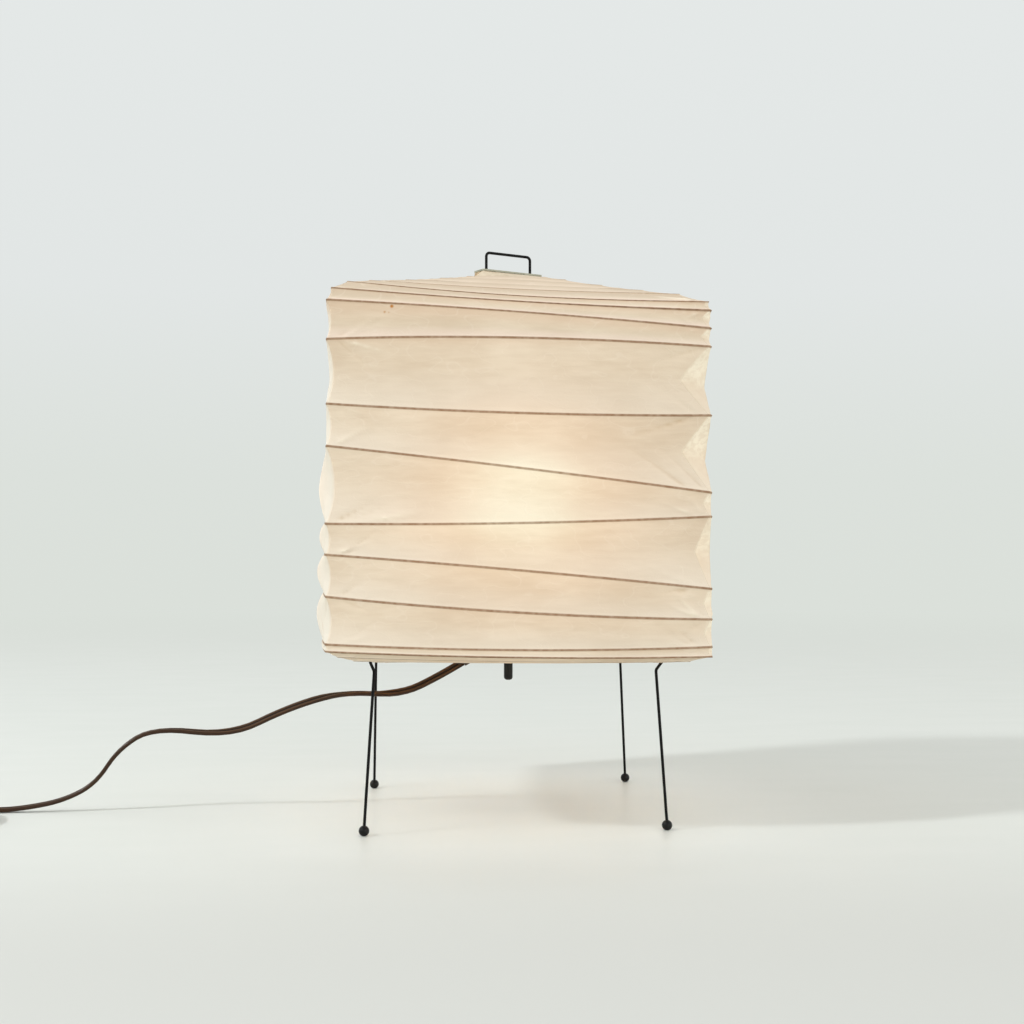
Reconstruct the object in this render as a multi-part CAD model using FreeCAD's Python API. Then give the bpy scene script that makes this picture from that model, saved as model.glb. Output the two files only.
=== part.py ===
import FreeCAD, Part
import math
import os
from FreeCAD import Vector

# Paper lantern table lamp. Millimetres, +Z up, origin on the floor below the middle of the shade.
# The front faces -Y. The lead leaves towards -X.

# Paper shade
shade_half = 125.0          # half the width over the paper at the corners of a rib
paper = 0.4                 # thickness of the paper
ring_z = 113.5              # height of the bottom hoop
shade_h = 238.5             # from the hoop up to where the roof's slope meets the side faces
roof_h = 29.5               # from there up to the roof's inner edge
collar_half = 25.0          # half the width of the roof's inner edge
rim_round = 5.0             # how far the first side turn lies inside the corner, front left
# places of the roof turns, front left and front right, as shares of the way from collar to side
roof_left = [0.06, 0.25, 0.49, 0.73, 0.87]
roof_right = [0.13, 0.36, 0.61, 0.82, 0.985]
roof_drop_left = -4.5       # how far below the rim the roof's slope ends, front left
roof_drop_right = 5.0       # the same front right
# heights of the side turns at the same corners, as shares of the way from hoop to rim
side_left = [1.0167, 0.9819, 0.8755, 0.7010, 0.5875, 0.3778, 0.2947, 0.1820, 0.0541, 0.0344]
side_right = [0.9623, 0.9136, 0.8633, 0.6751, 0.4637, 0.3983, 0.2009, 0.1179, 0.0427, 0.0155]
# places of the underside turns, as shares of the way from hoop to side
under_left = [0.718, 0.342]
under_right = [0.530, 0.286]
under_dip = 2.0             # how far the underside hangs below the straight way from hoop to side
# drop of each side turn at mid width
side_sag = [3.0, -0.4, -2.3, 2.8, -0.6, 2.0, -1.3, 2.4, 1.8, 0.9]
rib_bow_top = 1.5           # how far the highest rib bows out of its face at mid width
# the same for the lowest rib, face by face
rib_bow_low = {"front": 15.0, "right": 10.0, "back": 15.0, "left": 10.0}
# swell of the paper between two ribs, as a share of their distance
pillow_share = {"front": 0.07, "right": 0.11, "back": 0.07, "left": 0.12}
tuck_share = 0.13           # how far the paper tucks in at a corner, as a share of the same
# width of the corner fold, as a multiple of the tuck
fold_share = {"front": 3.0, "right": 5.0, "back": 3.0, "left": 3.0}
tuck_edge = 3.0             # width of the corner fold where it lies on a rib
row_height = 14.0           # height of one row of paper facets
swell_columns = 5           # lines of paper facets between the two corner folds

# Bamboo rib
rib_r = 1.0
rib_gap = 0.6               # between rib and paper
rib_setback = 7.0           # where a rib starts to turn, before its corner
rib_seam = 90.0             # where the tube's seam lies around it, degrees

# Bottom hoop and legs
underside_w = 28.0          # from the side face in to the hoop
ring_r = 1.0
ring_bend = 6.0
edge_gap = 0.4              # between the hoop and the paper's lower edge
wire_r = 1.0                # legs and stretcher
ear_clearance = 0.3         # between the hoop and a leg's ear
ear_angle = 44.0            # half the angle of the ear, degrees
ear_side = 10.4             # length of each side of the ear
ear_bend = 2.2
throat_bend = 3.0
arm_bend = 5.0
ball_r = 3.5
ball_flat = 0.25            # height cut off below each ball
ball_socket = 3.0           # depth of the wire in the ball
fit_gap = 0.05              # radial gap of parts pressed or glued together
# how far each foot stands outside the hoop, to its side and to its front or back
foot_splay = {
    "front_left": (4.0, 6.0),
    "front_right": (3.0, -1.0),
    "back_left": (2.0, -9.0),
    "back_right": (3.5, 10.0),
}
# how far a leg bends to its side below the hoop
leg_bend = {"front_left": 2.5, "front_right": 1.0, "back_left": 5.5, "back_right": 2.0}

# Hub
hub_r = 34.0
hub_rise = 11.5             # from the hoop up to the hub
hub_t = 2.0
arm_end = 20.0              # radius where the leg arms end below the hub
arm_flat = 36.0             # radius where the arms become level

# Stretcher, handle and top plate
handle_turn = 28.0          # the handle's plane, degrees from the front face
handle_half = 18.7          # half the distance of the handle's legs
handle_h = 15.5             # from the plate's underside to the top of the handle
handle_root = 6.0           # from the plate's underside down to where the handle joins the stretcher
handle_bend = 2.8
plate_t = 1.2
plate_length = 51.0
plate_width = 14.0
slide_gap = 0.1             # radial gap of the wire in the plate and the collar
plate_round = 2.0           # corners of the plate
stretcher_foot = 27.0       # half the distance of the stretcher's feet on the hub
stretcher_bend = 12.0       # bends beside the bulb
straight_bend = 8.0         # bend below the straight run of the plate
wide_low = 27.0             # from the bulb's middle down to the widest run of the stretcher
wide_high = 9.0             # from the bulb's middle up to the end of that run
bulb_room = 5.5             # from the bulb to the middle of the stretcher wire
collar_h = 5.5              # from the roof's inner edge up to the plate
collar_t = 1.0
collar_rim = 3.0            # width of the collar's foot
plate_show = 0.8            # how far the plate stands out beyond the collar's head
collar_gap = 0.3            # between the collar and the roof's paper
travel = 120.0              # how far the top plate can slide down
slide_end = 4.0             # straight wire left below the plate at the end of its slide

# Lamp holder and switch
housing_r = 16.0
housing_wall = 2.5
housing_floor = 2.8
housing_h = 18.8
base_r = 19.0
base_t = 7.0
shell_wall = 2.5
shell_h = 32.0
disc_t = 2.0
side_contact_t = 0.6
screw_r = 13.4              # inside of the brass screw shell
screw_wall = 0.7
screw_h = 23.0
contact_r = 3.0
contact_h = 5.0
shaft_r = 2.0
run_gap = 0.05              # radial running clearance of the shaft
knob_r = 3.2
knob_h = 13.9
knob_round = 2.2
knob_gap = 0.5              # between knob and housing
knob_depth = 8.0            # depth of the shaft in the knob
rotor_r = 6.0
rotor_h = 8.0
rotor_lift = 2.0            # rotor above the housing's floor
spring_t = 0.5
spring_w = 6.0
spring_h = 12.0
spring_gap = 0.4            # between contact spring and rotor
terminal_r = 2.0
terminal_l = 2.6
post_r = 3.0                # screw posts in the housing
post_at = 12.0              # radius where the fixing screws stand
fix_r = 1.5
fix_head_r = 2.6
fix_head = 2.0
fix_reach = 4.0             # depth of the fixing screws in the holder base

# Bulb
bulb_r = 30.0
globe_rise = 52.2           # from the cap up to the middle of the glass globe
glass = 0.8
cap_r = 12.9
cap_wall = 0.4
cap_h = 24.0
cap_ridge = 0.5
cap_ridges = 5
ridge_slope = 0.3           # one slope of a ridge, as a share of the ridges' distance
ridge_crest = 0.15          # the flat on top of a ridge, as a share of the same
tip_r = 4.0
tip_t = 0.8
insulator_h = 3.0
neck_angle = 42.0           # where the neck leaves the globe, degrees below its middle
neck_depth = 8.0            # depth of the neck in the cap
neck_show = 2.0             # straight neck above the cap
flare_h = 2.0               # height of the stem's foot
stem_r = 4.0
stem_tip = 2.8              # radius at the top of the stem
stem_h = 34.0
lead_r = 0.4
lead_at = 1.6               # half the distance of the two wires on the stem
lead_rise = 4.0             # height of their bends above the stem
lead_bend = 2.0
filament_half = 9.0
filament_rise = 5.0
filament_r = 0.5

# Lead
cord_r = 2.8
relief_l = 20.0
relief_r = 4.6
relief_tip = 3.5
relief_slope = 33.0         # the lead leaves this much below level, degrees
exit_drop = 1.2             # end of the strain relief below the switch housing
exit_reach = 17.0           # end of the strain relief beside the switch housing
# from the strain relief to the coil: reach along -X, place in Y, height as a share of the first point's
cord_route = [
    (0.0, 0.0, 1.0), (18.5, 0.0, 0.8857), (46.0, 0.5, 0.7648), (91.0, 1.5, 0.8076), (129.0, 1.0, 0.6838),
    (168.0, 0.0, 0.5067), (223.0, -1.0, 0.5790), (248.0, -1.0, 0.4190), (263.5, -0.5, 0.1952),
    (286.0, 0.0, 0.0819), (311.0, -0.5, 0.0419), (330.0, -1.8, 0.0333), (347.0, -3.0, 0.0362),
]
bend_share = 0.45           # part of each run of the lead that goes into one bend
coil_reach = 22.0           # from the end of the free stretch to the middle of the coil
coil_inner = 24.0           # radius of the innermost turn
coil_pitch = 6.2            # from turn to turn and from layer to layer
coil_quarters = 25          # quarter turns in the whole coil
coil_tail = 14.0            # straight end of the lead before the plug
tie_t = 0.6
tie_w = 4.0
tie_gap = 0.2
tie_angle = -60.0

# Plug
plug_relief_l = 22.0
plug_relief_r = 4.8
plug_relief_tip = 3.5
plug_l = 30.0
plug_w = 24.0
plug_round = 4.0
blade_l = 17.0
blade_w = 6.3
blade_t = 1.5
blade_space = 12.7
blade_root = 6.0            # depth of the blades in the plug

# Worked out from the sizes above
root2 = math.sqrt(2.0)
up = Vector(0, 0, 1)
rim_z = ring_z + shade_h
collar_z = rim_z + roof_h
plate_z = collar_z + collar_h
handle_top = plate_z + handle_h
ring_half = shade_half - underside_w
hub_z = ring_z + hub_rise
housing_low = hub_z - housing_h
base_z = hub_z + hub_t
disc_z = base_z + base_t
edge_half = ring_half + ring_r + edge_gap
tip_z = disc_z + contact_h
cap_z = tip_z + tip_t
cap_top = cap_z + cap_h
bulb_z = cap_top + globe_rise
coil_low = cord_r + tie_t + 2 * tie_gap
coil_high = coil_low + coil_pitch

os.makedirs("parts", exist_ok=True)


def save(name, shape):
    shape.exportStep("parts/" + name + ".step")
    print(name, "solids", len(shape.Solids), "volume", round(shape.Volume, 1), "valid", shape.isValid())


def cylinder(radius, low, high, x=0.0, y=0.0):
    return Part.makeCylinder(radius, high - low, Vector(x, y, low))


def ring(outer, inner, low, high):
    return cylinder(outer, low, high).cut(cylinder(inner, low - 1, high + 1))


def turned(points):
    # solid of revolution about Z from a closed outline of (radius, height) points
    outline = [Vector(r, 0, z) for r, z in points]
    outline.append(outline[0])
    return Part.Face(Part.makePolygon(outline)).revolve(Vector(0, 0, 0), up, 360)


def corner_arc(start, corner, end):
    # edge that rounds a corner between two points equally far from it
    first = (start - corner).normalize()
    last = (end - corner).normalize()
    reach = (start - corner).Length
    middle = first + last
    if middle.Length < 1e-6 or (start - end).Length > 2 * reach * (1 - 1e-9):
        return Part.LineSegment(start, end).toShape()
    half = first.getAngle(last) / 2
    depth = reach / math.cos(half) - reach * math.tan(half)
    return Part.Arc(start, corner + middle.normalize() * depth, end).toShape()


def rounded_path(points, bends):
    # straight runs joined by tangent arcs; bends holds one radius for each inner point
    edges = []
    at = points[0]
    for i, bend in enumerate(bends):
        corner = points[i + 1]
        back = (points[i] - corner).normalize()
        on = (points[i + 2] - corner).normalize()
        reach = bend / math.tan(back.getAngle(on) / 2)
        start = corner + back * reach
        end = corner + on * reach
        edges.append(Part.LineSegment(at, start).toShape())
        edges.append(corner_arc(start, corner, end))
        at = end
    edges.append(Part.LineSegment(at, points[-1]).toShape())
    return edges


def biarc(p0, t0, p1, t1):
    # two tangent arcs from p0 along t0 to p1 along t1
    v = p1 - p0
    t = t0 + t1
    turn = 2 * (1 - t0.dot(t1))
    if turn > 1e-9:
        reach = (math.sqrt(v.dot(t) ** 2 + turn * v.dot(v)) - v.dot(t)) / turn
    else:
        reach = v.dot(v) / (4 * v.dot(t1))
    q0 = p0 + t0 * reach
    q1 = p1 - t1 * reach
    middle = (q0 + q1) * 0.5
    return [corner_arc(p0, q0, middle), corner_arc(middle, q1, p1)]


def tube(edges, radius, seam=0.0):
    path = Part.Wire(edges)
    start = edges[0].valueAt(edges[0].FirstParameter)
    heading = edges[0].tangentAt(edges[0].FirstParameter)
    profile = Part.Wire(Part.makeCircle(radius, start, heading))
    profile.rotate(start, heading, seam)
    return path.makePipeShell([profile], True, False)


def least_gap(name, edges, radius):
    # least clear distance of a wound tube to itself, on points along it
    step = 4.0 * radius
    cell = 10.0
    own_stretch = 75.0
    skip = int(own_stretch / step)
    points = []
    for edge in edges:
        count = max(2, int(edge.Length / step))
        points += edge.discretize(count)[:-1]
    cells = {}
    for i, p in enumerate(points):
        key = (int(p.x // cell), int(p.y // cell), int(p.z // cell))
        cells.setdefault(key, []).append(i)
    least = 1e9
    around = [(a, b, c) for a in (-1, 0, 1) for b in (-1, 0, 1) for c in (-1, 0, 1)]
    for key, members in cells.items():
        for shift in around:
            other = cells.get((key[0] + shift[0], key[1] + shift[1], key[2] + shift[2]), [])
            for i in members:
                for j in other:
                    if j > i + skip:
                        least = min(least, (points[i] - points[j]).Length)
    print(name, "least gap to itself", round(least - 2 * radius, 2))


def hump(t):
    # none at both ends, 1 in the middle
    return 4 * t * (1 - t)


def mixed(a, b, share):
    return tuple(p + (q - p) * share for p, q in zip(a, b))


# Shade outline: every turn of the rib crosses the four corners in the order front left, front right,
# back right, back left. A corner holds a list of (half width, height) from the collar to the hoop.
side_names = ["front", "right", "back", "left"]
corners = []
for n in range(len(side_names)):
    bearing = math.radians(90 * n - 135)
    corners.append((math.copysign(1, math.cos(bearing)), math.copysign(1, math.sin(bearing))))
collar_point = (collar_half, collar_z)
edge_point = (edge_half, ring_z)


def corner_turns(roof, side, under, drop):
    turns = [mixed(collar_point, (shade_half, rim_z - drop), share) for share in roof]
    turns += [(shade_half, ring_z + shade_h * share) for share in side]
    lowest = turns[-1]
    for share in under:
        half, z = mixed(edge_point, lowest, share)
        turns.append((half, z - under_dip * hump(share)))
    return turns


left_turns = corner_turns(roof_left, side_left, under_left, roof_drop_left)
first_side = len(roof_left)
left_turns[first_side] = (shade_half - rim_round, left_turns[first_side][1])
right_turns = corner_turns(roof_right, side_right, under_right, roof_drop_right)
turn_sag = [0.0] * (len(roof_left) + 1) + side_sag + [0.0] * (len(under_left) + 1)
next_left = left_turns[1:] + [edge_point]
turn_count = len(left_turns)
turn_lists = [
    left_turns,
    right_turns,
    [mixed(a, b, 1 / 3) for a, b in zip(right_turns, next_left)],
    [mixed(a, b, 2 / 3) for a, b in zip(right_turns, next_left)],
]
profiles = [[collar_point] + turns + [edge_point] for turns in turn_lists]


def profile_normal(profile, i):
    # outward normal (across, up) of a corner's outline at its point i
    before = profile[max(i - 1, 0)]
    after = profile[min(i + 1, len(profile) - 1)]
    across = after[0] - before[0]
    rise = after[1] - before[1]
    size = math.hypot(across, rise)
    return (-rise / size, across / size)


# The lines of one face are pairs of corner points from the collar down to the hoop.
face_corners = {}
face_normals = {}
for n, name in enumerate(side_names):
    following = (n + 1) % len(side_names)
    face_corners[name] = (n, following)
    middle = Vector(corners[n][0] + corners[following][0], corners[n][1] + corners[following][1], 0)
    face_normals[name] = middle.normalize()
last = turn_count + 1


def face_lines(face):
    if face != "left":
        return [(i, i) for i in range(last + 1)]
    return [(0, 0)] + [(i, i + 1) for i in range(last)] + [(last, last)]


def line_bow(face, i, half, z):
    # how far a line bows out of its face at mid width; none on the collar and on the hoop
    low = min(max((rim_z - z) / shade_h, 0.0), 1.0)
    bow = (rib_bow_top + (rib_bow_low[face] - rib_bow_top) * low) * half / shade_half
    return bow if 0 < i < last else 0.0


def corner_vector(corner, half, z):
    return Vector(corners[corner][0] * half, corners[corner][1] * half, z)


def skin_rows(face, first_line, last_line):
    # rows of (outer, inner) points of one face's paper between two of its lines
    normal = face_normals[face]
    left, right = face_corners[face]
    lines = face_lines(face)
    out_left = Vector(corners[left][0], corners[left][1], 0)
    out_right = Vector(corners[right][0], corners[right][1], 0)
    rows = []
    for n in range(first_line, last_line):
        upper, lower = lines[n], lines[n + 1]
        al, bl = profiles[left][upper[0]], profiles[left][lower[0]]
        ar, br = profiles[right][upper[1]], profiles[right][lower[1]]
        high_l, low_l = corner_vector(left, *al), corner_vector(left, *bl)
        high_r, low_r = corner_vector(right, *ar), corner_vector(right, *br)
        bow_high = line_bow(face, upper[0], (al[0] + ar[0]) / 2, (al[1] + ar[1]) / 2)
        bow_low = line_bow(face, lower[0], (bl[0] + br[0]) / 2, (bl[1] + br[1]) / 2)
        sag_high, sag_low = turn_sag[upper[0]], turn_sag[lower[0]]
        nl = profile_normal(profiles[left], upper[0]), profile_normal(profiles[left], lower[0])
        nr = profile_normal(profiles[right], upper[1]), profile_normal(profiles[right], lower[1])
        size_l, size_r = (low_l - high_l).Length, (low_r - high_r).Length
        fall = ((bl[0] + br[0] - al[0] - ar[0]) / 2, (bl[1] + br[1] - al[1] - ar[1]) / 2)
        fall_size = max(math.hypot(*fall), 1e-6)
        swell_way = normal * (-fall[1] / fall_size) + up * (fall[0] / fall_size)
        side_share = max(-fall[1] / fall_size, 0.0)
        swell = pillow_share[face] * (size_l + size_r) / 2
        steps = max(1, round(max(size_l, size_r) / row_height))
        for k in range(0 if n == first_line else 1, steps + 1):
            t = k / steps
            arch = hump(t)
            tuck_l = tuck_share * size_l * side_share * arch
            tuck_r = tuck_share * size_r * side_share * arch
            a, b = high_l + (low_l - high_l) * t, high_r + (low_r - high_r) * t
            bow = normal * (bow_high + (bow_low - bow_high) * t)
            bow -= up * (sag_high + (sag_low - sag_high) * t)
            width = (b - a).Length
            fold_l = (tuck_edge + fold_share[face] * tuck_l) / width
            fold_r = (tuck_edge + fold_share[face] * tuck_r) / width
            places = [k / (swell_columns + 1) for k in range(swell_columns + 2)]
            shares = [0.0] + [fold_l + (1 - fold_l - fold_r) * g for g in places] + [1.0]
            crowns = [0.0] + [hump(g) for g in places] + [0.0]
            row = []
            for c, s in enumerate(shares):
                point = a + (b - a) * s + bow * hump(s)
                point += swell_way * (swell * arch * crowns[c])
                way = normal
                if c == 0:
                    point -= out_left * tuck_l
                    way = out_left
                if c == len(shares) - 1:
                    point -= out_right * tuck_r
                    way = out_right
                tilt_l, tilt_r = mixed(nl[0], nl[1], t), mixed(nr[0], nr[1], t)
                tilt = mixed(tilt_l, tilt_r, s)
                most = max(abs(tilt[0]), abs(tilt[1]))
                row.append((point, point - (way * (tilt[0] / most) + up * (tilt[1] / most)) * paper))
            rows.append(row)
    return rows


def sheet(rows):
    # closed solid of thin paper between the outer and inner points of a grid
    points = []
    places = {}
    facets = []

    def index(p):
        key = (round(p.x, 4), round(p.y, 4), round(p.z, 4))
        if key not in places:
            places[key] = len(points)
            points.append(p)
        return places[key]

    def quad(a, b, c, d):
        for three in ((a, b, c), (a, c, d)):
            if len(set(three)) == 3:
                facets.append(three)

    outer = [[index(p[0]) for p in row] for row in rows]
    inner = [[index(p[1]) for p in row] for row in rows]
    tall, wide = len(rows) - 1, len(rows[0]) - 1
    for r in range(tall):
        for c in range(wide):
            quad(outer[r][c], outer[r + 1][c], outer[r + 1][c + 1], outer[r][c + 1])
            quad(inner[r][c], inner[r][c + 1], inner[r + 1][c + 1], inner[r + 1][c])
        quad(outer[r + 1][0], outer[r][0], inner[r][0], inner[r + 1][0])
        quad(outer[r][wide], outer[r + 1][wide], inner[r + 1][wide], inner[r][wide])
    for c in range(wide):
        quad(outer[0][c], outer[0][c + 1], inner[0][c + 1], inner[0][c])
        quad(outer[tall][c + 1], outer[tall][c], inner[tall][c], inner[tall][c + 1])
    shell = Part.Shape()
    shell.makeShapeFromMesh((points, facets), 0.001)
    solid = Part.makeSolid(Part.Shell(shell.Faces) if shell.ShapeType != "Shell" else shell)
    if solid.Volume < 0:
        solid.reverse()
    return solid


roof_end = len(roof_left) + 1
side_end = roof_end + len(side_left) - 1
for face in face_normals:
    bottom_line = len(face_lines(face)) - 1
    save("roof_paper_" + face, sheet(skin_rows(face, 0, roof_end)))
    save("side_paper_" + face, sheet(skin_rows(face, roof_end, side_end)))
    save("underside_paper_" + face, sheet(skin_rows(face, side_end, bottom_line)))

# Bamboo rib, one unbroken winding below the paper, from the collar to the middle of the right underside
rib_inset = paper + rib_gap + rib_r


def stretch_normal(profile, i):
    # outward normal (across, up) of the stretch of a corner's outline from its point i to the next
    i = min(max(i, 0), len(profile) - 2)
    across = profile[i + 1][0] - profile[i][0]
    rise = profile[i + 1][1] - profile[i][1]
    size = math.hypot(across, rise)
    return (-rise / size, across / size)


def rib_corner(corner, i):
    # the rib lies equally deep below the paper above it and below it
    half, z = profiles[corner][i]
    above = stretch_normal(profiles[corner], i - 1)
    below = stretch_normal(profiles[corner], i)
    depth = rib_inset / (1 + above[0] * below[0] + above[1] * below[1])
    return corner_vector(corner, half - depth * (above[0] + below[0]), z - depth * (above[1] + below[1]))


last_corner = len(corners) - 1
rib_stops = [(last_corner, 0)] + [(corner, i) for i in range(1, last) for corner in range(len(corners))]
rib_stops = rib_stops[:-1]
rib_edges = []
exit_point = None
for (corner, i), (following, j) in zip(rib_stops, rib_stops[1:]):
    a = rib_corner(corner, i)
    b = rib_corner(following, j)
    along = (b - a).normalize()
    face = side_names[corner]
    normal = face_normals[face]
    begin = a + along * rib_setback
    finish = b - along * rib_setback
    upper, lower = profiles[corner][i], profiles[following][j]
    half, height = mixed(upper, lower, 1 / 2)
    out = normal * line_bow(face, max(i, 1), half, height) - up * turn_sag[i]
    bow = out.Length
    out.normalize()
    lean = 2 * math.atan2(2 * bow, (finish - begin).Length)
    out_way = along * math.cos(lean) + out * math.sin(lean)
    in_way = along * math.cos(lean) - out * math.sin(lean)
    if exit_point is None:
        rib_edges.append(Part.LineSegment(begin - out_way * 2 * rib_r, begin).toShape())
    else:
        rib_edges += biarc(exit_point, exit_way, begin, out_way)
    if (following, j) == rib_stops[-1]:
        middle = (begin + finish) * 0.5 + out * bow
        rib_edges += biarc(begin, out_way, middle, along)
        rib_edges.append(Part.LineSegment(middle, middle + along * 2 * rib_r).toShape())
    else:
        rib_edges += biarc(begin, out_way, finish, in_way)
    exit_point, exit_way = finish, in_way
save("bamboo_rib", tube(rib_edges, rib_r, rib_seam))
least_gap("bamboo_rib", rib_edges, rib_r)
print("bamboo_rib length", round(sum(e.Length for e in rib_edges)), "turns", turn_count)

# Bottom hoop
hoop_start = Vector(0, -ring_half, ring_z)
hoop_corners = [corner_vector(c, ring_half, ring_z) for c in (1, 2, 3, 0)]
hoop_points = [hoop_start] + hoop_corners + [hoop_start]
save("bottom_hoop", tube(rounded_path(hoop_points, [ring_bend] * 4), ring_r))

# Legs and feet
hoop_corner = ring_half * root2 - ring_bend * (root2 - 1)
ear_half = math.radians(ear_angle)
ear_tip = hoop_corner + (ring_r + wire_r + ear_clearance) / math.sin(ear_half)
ear_in = ear_tip - ear_side * math.cos(ear_half)
ear_rise = ear_side * math.sin(ear_half)
arm_z = hub_z - wire_r
ball_z = ball_r - ball_flat
for name, (splay_x, splay_y) in foot_splay.items():
    side_x = -1 if name.endswith("left") else 1
    side_y = -1 if name.startswith("front") else 1
    foot_x = side_x * (ring_half + splay_x)
    foot_y = side_y * (ring_half + splay_y)
    way = Vector(side_x, side_y, 0) * (1 / root2)
    foot = Vector(foot_x, foot_y, ball_z + ball_r - ball_socket)
    bent = Vector(side_x * leg_bend[name], 0, 0)
    leg_points = [foot]
    leg_points += [way * ear_in + bent + up * (ring_z - ear_rise), way * ear_tip + up * ring_z]
    leg_points += [way * ear_in + up * (ring_z + ear_rise), way * arm_flat + up * arm_z]
    leg_points.append(way * arm_end + up * arm_z)
    leg_bends = [throat_bend, ear_bend, arm_bend, arm_bend]
    leg = tube(rounded_path(leg_points, leg_bends), wire_r)
    save("leg_" + name, leg)
    heading = (leg_points[1] - foot).normalize()
    socket = Part.makeCylinder(wire_r + fit_gap, 2 * ball_r, foot, heading)
    ball = Part.makeSphere(ball_r, Vector(foot_x, foot_y, ball_z)).cut(socket)
    save("foot_" + name, ball.cut(cylinder(ball_r, -ball_r, 0, foot_x, foot_y)))

# Hub plate
fix_places = [(post_at / root2, post_at / root2), (-post_at / root2, -post_at / root2)]
hub = cylinder(hub_r, hub_z, base_z).cut(cylinder(rotor_r, hub_z - 1, base_z + 1))
for x, y in fix_places:
    hub = hub.cut(cylinder(fix_r + fit_gap, hub_z - 1, base_z + 1, x, y))
save("hub_plate", hub)

# Stretcher wires and handle
turn = math.radians(handle_turn)
across = Vector(math.cos(turn), math.sin(turn), 0)
bow_half = bulb_r + bulb_room
straight_low = plate_z - collar_t - travel - slide_end
side_points = [(stretcher_foot, base_z), (stretcher_foot, disc_z + shell_h / 2)]
side_points += [(bow_half, bulb_z - wide_low), (bow_half, bulb_z + wide_high)]
side_points += [(handle_half, straight_low), (handle_half, plate_z - handle_root)]
side_bends = [stretcher_bend, stretcher_bend, stretcher_bend, straight_bend]
for name, side in (("left", -1), ("right", 1)):
    stretcher_points = [across * (side * s) + up * z for s, z in side_points]
    save("stretcher_" + name, tube(rounded_path(stretcher_points, side_bends), wire_r))
handle_points = [(-handle_half, plate_z - handle_root), (-handle_half, handle_top - wire_r)]
handle_points += [(handle_half, handle_top - wire_r), (handle_half, plate_z - handle_root)]
handle_points = [across * s + up * z for s, z in handle_points]
save("handle", tube(rounded_path(handle_points, [handle_bend, handle_bend]), wire_r))

# Top plate and collar
plate_corner = Vector(-plate_length / 2, -plate_width / 2, plate_z)
plate = Part.makeBox(plate_length, plate_width, plate_t, plate_corner)
plate = plate.makeFillet(plate_round, [e for e in plate.Edges if abs(e.tangentAt(0).z) > 0.9])
plate.rotate(Vector(0, 0, 0), up, handle_turn)


def collar_block(foot_inset, head_inset, head_z):
    # from the roof's square opening up to the turned outline of the plate
    foot = [corner_vector(n, collar_half - collar_gap - foot_inset, collar_low) for n in range(len(corners))]
    half_l = plate_length / 2 - plate_show - head_inset
    half_w = plate_width / 2 - plate_show - head_inset
    head = [across * (x * half_l) + aside * (y * half_w) + up * head_z for x, y in corners]
    loops = [Part.makePolygon(points + points[:1]) for points in (foot, head)]
    return Part.makeLoft(loops, True, True)


collar_low = collar_z - paper / 2
aside = Vector(-across.y, across.x, 0)
collar = collar_block(0.0, 0.0, plate_z)
collar = collar.cut(collar_block(collar_rim, collar_t, plate_z - collar_t))
for side in (-1, 1):
    place = across * (side * handle_half)
    bore = cylinder(wire_r + slide_gap, collar_low - 1, plate_z + plate_t + 1, place.x, place.y)
    plate = plate.cut(bore)
    collar = collar.cut(bore)
save("top_plate", plate)
save("top_collar", collar)

# Switch housing with the strain relief of the lead
cavity_r = housing_r - housing_wall
floor_z = housing_low + housing_floor
housing = cylinder(housing_r, housing_low, hub_z).cut(cylinder(cavity_r, floor_z, hub_z + 1))
for x, y in fix_places:
    post = cylinder(post_r, housing_low, hub_z, x, y)
    housing = housing.fuse(post.common(cylinder(housing_r, housing_low, hub_z)))
for x, y in fix_places:
    housing = housing.cut(cylinder(fix_r + fit_gap, housing_low - 1, hub_z + 1, x, y))
    housing = housing.cut(cylinder(fix_head_r + fit_gap, housing_low - 1, housing_low + fix_head, x, y))
housing = housing.cut(cylinder(shaft_r + run_gap, housing_low - 1, floor_z + 1))
cord_start = Vector(-housing_r - exit_reach, 0, housing_low - exit_drop)
slope = math.radians(relief_slope)
relief_way = Vector(-math.cos(slope), 0, -math.sin(slope))
relief_root = cord_start - relief_way * relief_l
entry = relief_root - relief_way * housing_r / 2
housing = housing.cut(Part.makeCylinder(cord_r, housing_r, entry, relief_way))
save("switch_housing", housing.removeSplitter())
relief_base = relief_root - relief_way * housing_wall
relief = Part.makeCone(relief_r, relief_tip, relief_l + housing_wall, relief_base, relief_way)
relief = relief.cut(cylinder(housing_r + fit_gap, housing_low - 1, hub_z + 1))
save("cord_strain_relief", relief)

# Holder base, shell and contacts
base = cylinder(base_r, base_z, disc_z).cut(cylinder(contact_r / 2, base_z - 1, disc_z + 1))
for x, y in fix_places:
    base = base.cut(cylinder(fix_r + fit_gap, base_z - 1, base_z + fix_reach, x, y))
save("holder_base", base)
shell_in = base_r - shell_wall
save("holder_shell", ring(base_r, shell_in, disc_z, disc_z + shell_h))
disc_r = shell_in - fit_gap
save("insulating_disc", ring(disc_r, contact_r + fit_gap, disc_z, disc_z + disc_t))
save("centre_contact", cylinder(contact_r, disc_z, tip_z))
side_z = disc_z + disc_t
save("side_contact", ring(disc_r, screw_r - 2 * screw_wall, side_z, side_z + side_contact_t))
flange_z = side_z + side_contact_t
screw_out = screw_r + screw_wall
screw_top = flange_z + screw_h
screw_points = [(screw_r, flange_z), (disc_r, flange_z), (disc_r, flange_z + screw_wall),
                (screw_out, flange_z + screw_wall), (screw_out, screw_top), (screw_r, screw_top)]
save("screw_shell", turned(screw_points))
fix_screws = []
for x, y in fix_places:
    shank = cylinder(fix_r, housing_low + fix_head, base_z + fix_reach, x, y)
    head = cylinder(fix_head_r, housing_low, housing_low + fix_head, x, y)
    fix_screws.append(shank.fuse(head).removeSplitter())
save("fixing_screws", Part.makeCompound(fix_screws))

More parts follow.
